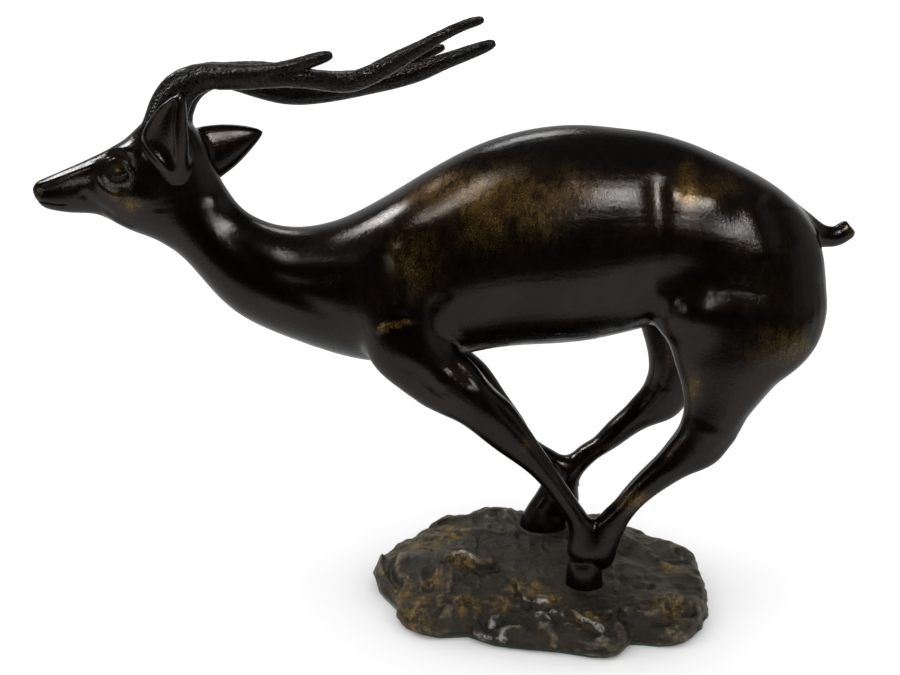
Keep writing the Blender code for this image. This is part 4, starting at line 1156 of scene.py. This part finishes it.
# ---------------------------------------------------------------------------------------------
# Camera, floor and light


CAMERA_PLACE, CAMERA_TILT = (-0.0450, -0.5544, 0.2867), 74.6  # metres, and degrees from straight down
CAMERA_LENS, CAMERA_SENSOR = 46.0, 36.0


def add_camera():
    data = bpy.data.cameras.new("camera")
    data.lens = CAMERA_LENS
    data.sensor_width = CAMERA_SENSOR
    camera = bpy.data.objects.new("camera", data)
    camera.location = CAMERA_PLACE
    camera.rotation_euler = (math.radians(CAMERA_TILT), 0, 0)
    bpy.context.scene.collection.objects.link(camera)
    bpy.context.scene.camera = camera


def add_floor():
    shape = bmesh.new()
    bmesh.ops.create_grid(shape, x_segments=2, y_segments=2, size=12)
    mesh = bpy.data.meshes.new("floor")
    shape.to_mesh(mesh)
    shape.free()
    floor = bpy.data.objects.new("floor", mesh)
    bpy.context.scene.collection.objects.link(floor)
    s = Shader("floor_white_with_painted_dark_patch")
    s.set(Roughness=0.9, Specular_IOR_Level=0.0)
    split = s.add("ShaderNodeSeparateXYZ")
    s.join(s.place, split.inputs["Vector"])
    # Painted shade: the floor is coloured near-black in front of the animal, out of view, so that the
    # glossy flank mirrors it as a painted dark reflection.
    painted_dark_reflection_patch = s.between(split.outputs["Y"], -0.44, -0.38)
    s.to("Base Color", s.mixed(painted_dark_reflection_patch, (0.03, 0.03, 0.03), (0.86, 0.86, 0.86)))
    mesh.materials.append(s.material)


def add_light(name, place, target, along, size, power):
    """A soft rectangular light that shines at the target, with its first side along a direction."""
    data = bpy.data.lights.new(name, "AREA")
    data.shape = "RECTANGLE"
    data.size, data.size_y = size
    data.energy = power
    back = (Vector(place) - Vector(target)).normalized()
    side = (Vector(along) - Vector(along).dot(back) * back).normalized()
    turn = Matrix((side, back.cross(side), back)).transposed()
    lamp = bpy.data.objects.new(name, data)
    lamp.matrix_world = Matrix.Translation(place) @ turn.to_4x4()
    lamp.visible_diffuse = False
    bpy.context.scene.collection.objects.link(lamp)


# How bright the room is in the metal: an axis of the direction, where it starts and is full.
ROOM = (("Y", 0.40, 0.82, 0.95), ("Z", 0.55, 1.0, 0.14), ("X", 0.55, 0.97, 0.55), ("X", -0.75, -1.0, 0.30))
WORLD_LIGHT = 1.4


def add_world():
    """White to the eye and to the floor, and a dark room with a white backdrop to the metal."""
    world = bpy.data.worlds.new("studio")
    world.use_nodes = True
    n = Nodes(world.node_tree, "Generated")
    split = n.add("ShaderNodeSeparateXYZ")
    n.join(n.place, split.inputs["Vector"])
    parts = [n.between(split.outputs[axis], start, end, 0.0, power) for axis, start, end, power in ROOM]
    total = parts[0]
    for part in parts[1:]:
        total = n.maths("MAXIMUM", total, part)
    mix = n.add("ShaderNodeMix", data_type="FLOAT")
    n.join(n.add("ShaderNodeLightPath").outputs["Is Glossy Ray"], mix.inputs["Factor"])
    mix.inputs[2].default_value = WORLD_LIGHT
    n.join(total, mix.inputs[3])
    back = n.tree.nodes["Background"]
    n.join(mix.outputs[0], back.inputs["Strength"])
    back.inputs["Color"].default_value = (1, 1, 1, 1)
    bpy.context.scene.world = world


# Lights: name, place, target, direction of the first side, size in metres, power in watts.
LIGHTS = (
    ("window", (0.36, -0.98, 0.87), (0.035, -0.03, 0.21), (1, 0, 0), (0.12, 0.46), 9.6),
    ("side_panel", (-0.49, -0.53, 1.19), (-0.04, -0.03, 0.21), (1, -1, 0), (0.055, 0.145), 2.4),
    ("strip", (-0.12, 0.55, 1.08), (-0.12, 0.0, 0.18), (1, 0, 0), (0.42, 0.05), 3.4),
    ("lamp", (-0.76, 0.22, 0.95), (-0.09, 0.0, 0.21), (0, 1, 0), (0.15, 0.15), 6.6),
    ("face_lamp", (-0.84, -0.62, 0.40), (-0.21, -0.01, 0.21), (0, 0, 1), (0.14, 0.05), 0.55),
    ("muzzle_lamp", (-0.92, 0.28, 0.90), (-0.23, 0.0, 0.21), (0, 1, 0), (0.12, 0.12), 2.6),
)


def main():
    bpy.context.scene.view_settings.view_transform = "Standard"
    add_camera()
    add_floor()
    add_world()
    # Highlights in the metal only: the floor and the shadows are lit by the world.
    for light in LIGHTS:
        add_light(*light)
    bronze = make_bronze()
    body = build_body(bronze)
    neck = build_neck(body, bronze)
    build_head(neck, bronze)
    for name, side in (("left", LEFT), ("right", RIGHT)):
        build_antler(name, side, bronze)
        build_ear(name, side, bronze)
        build_legs(name, side, body, bronze)
    build_tail(body, bronze)
    build_base(make_rock())
    finish_nodes()


main()
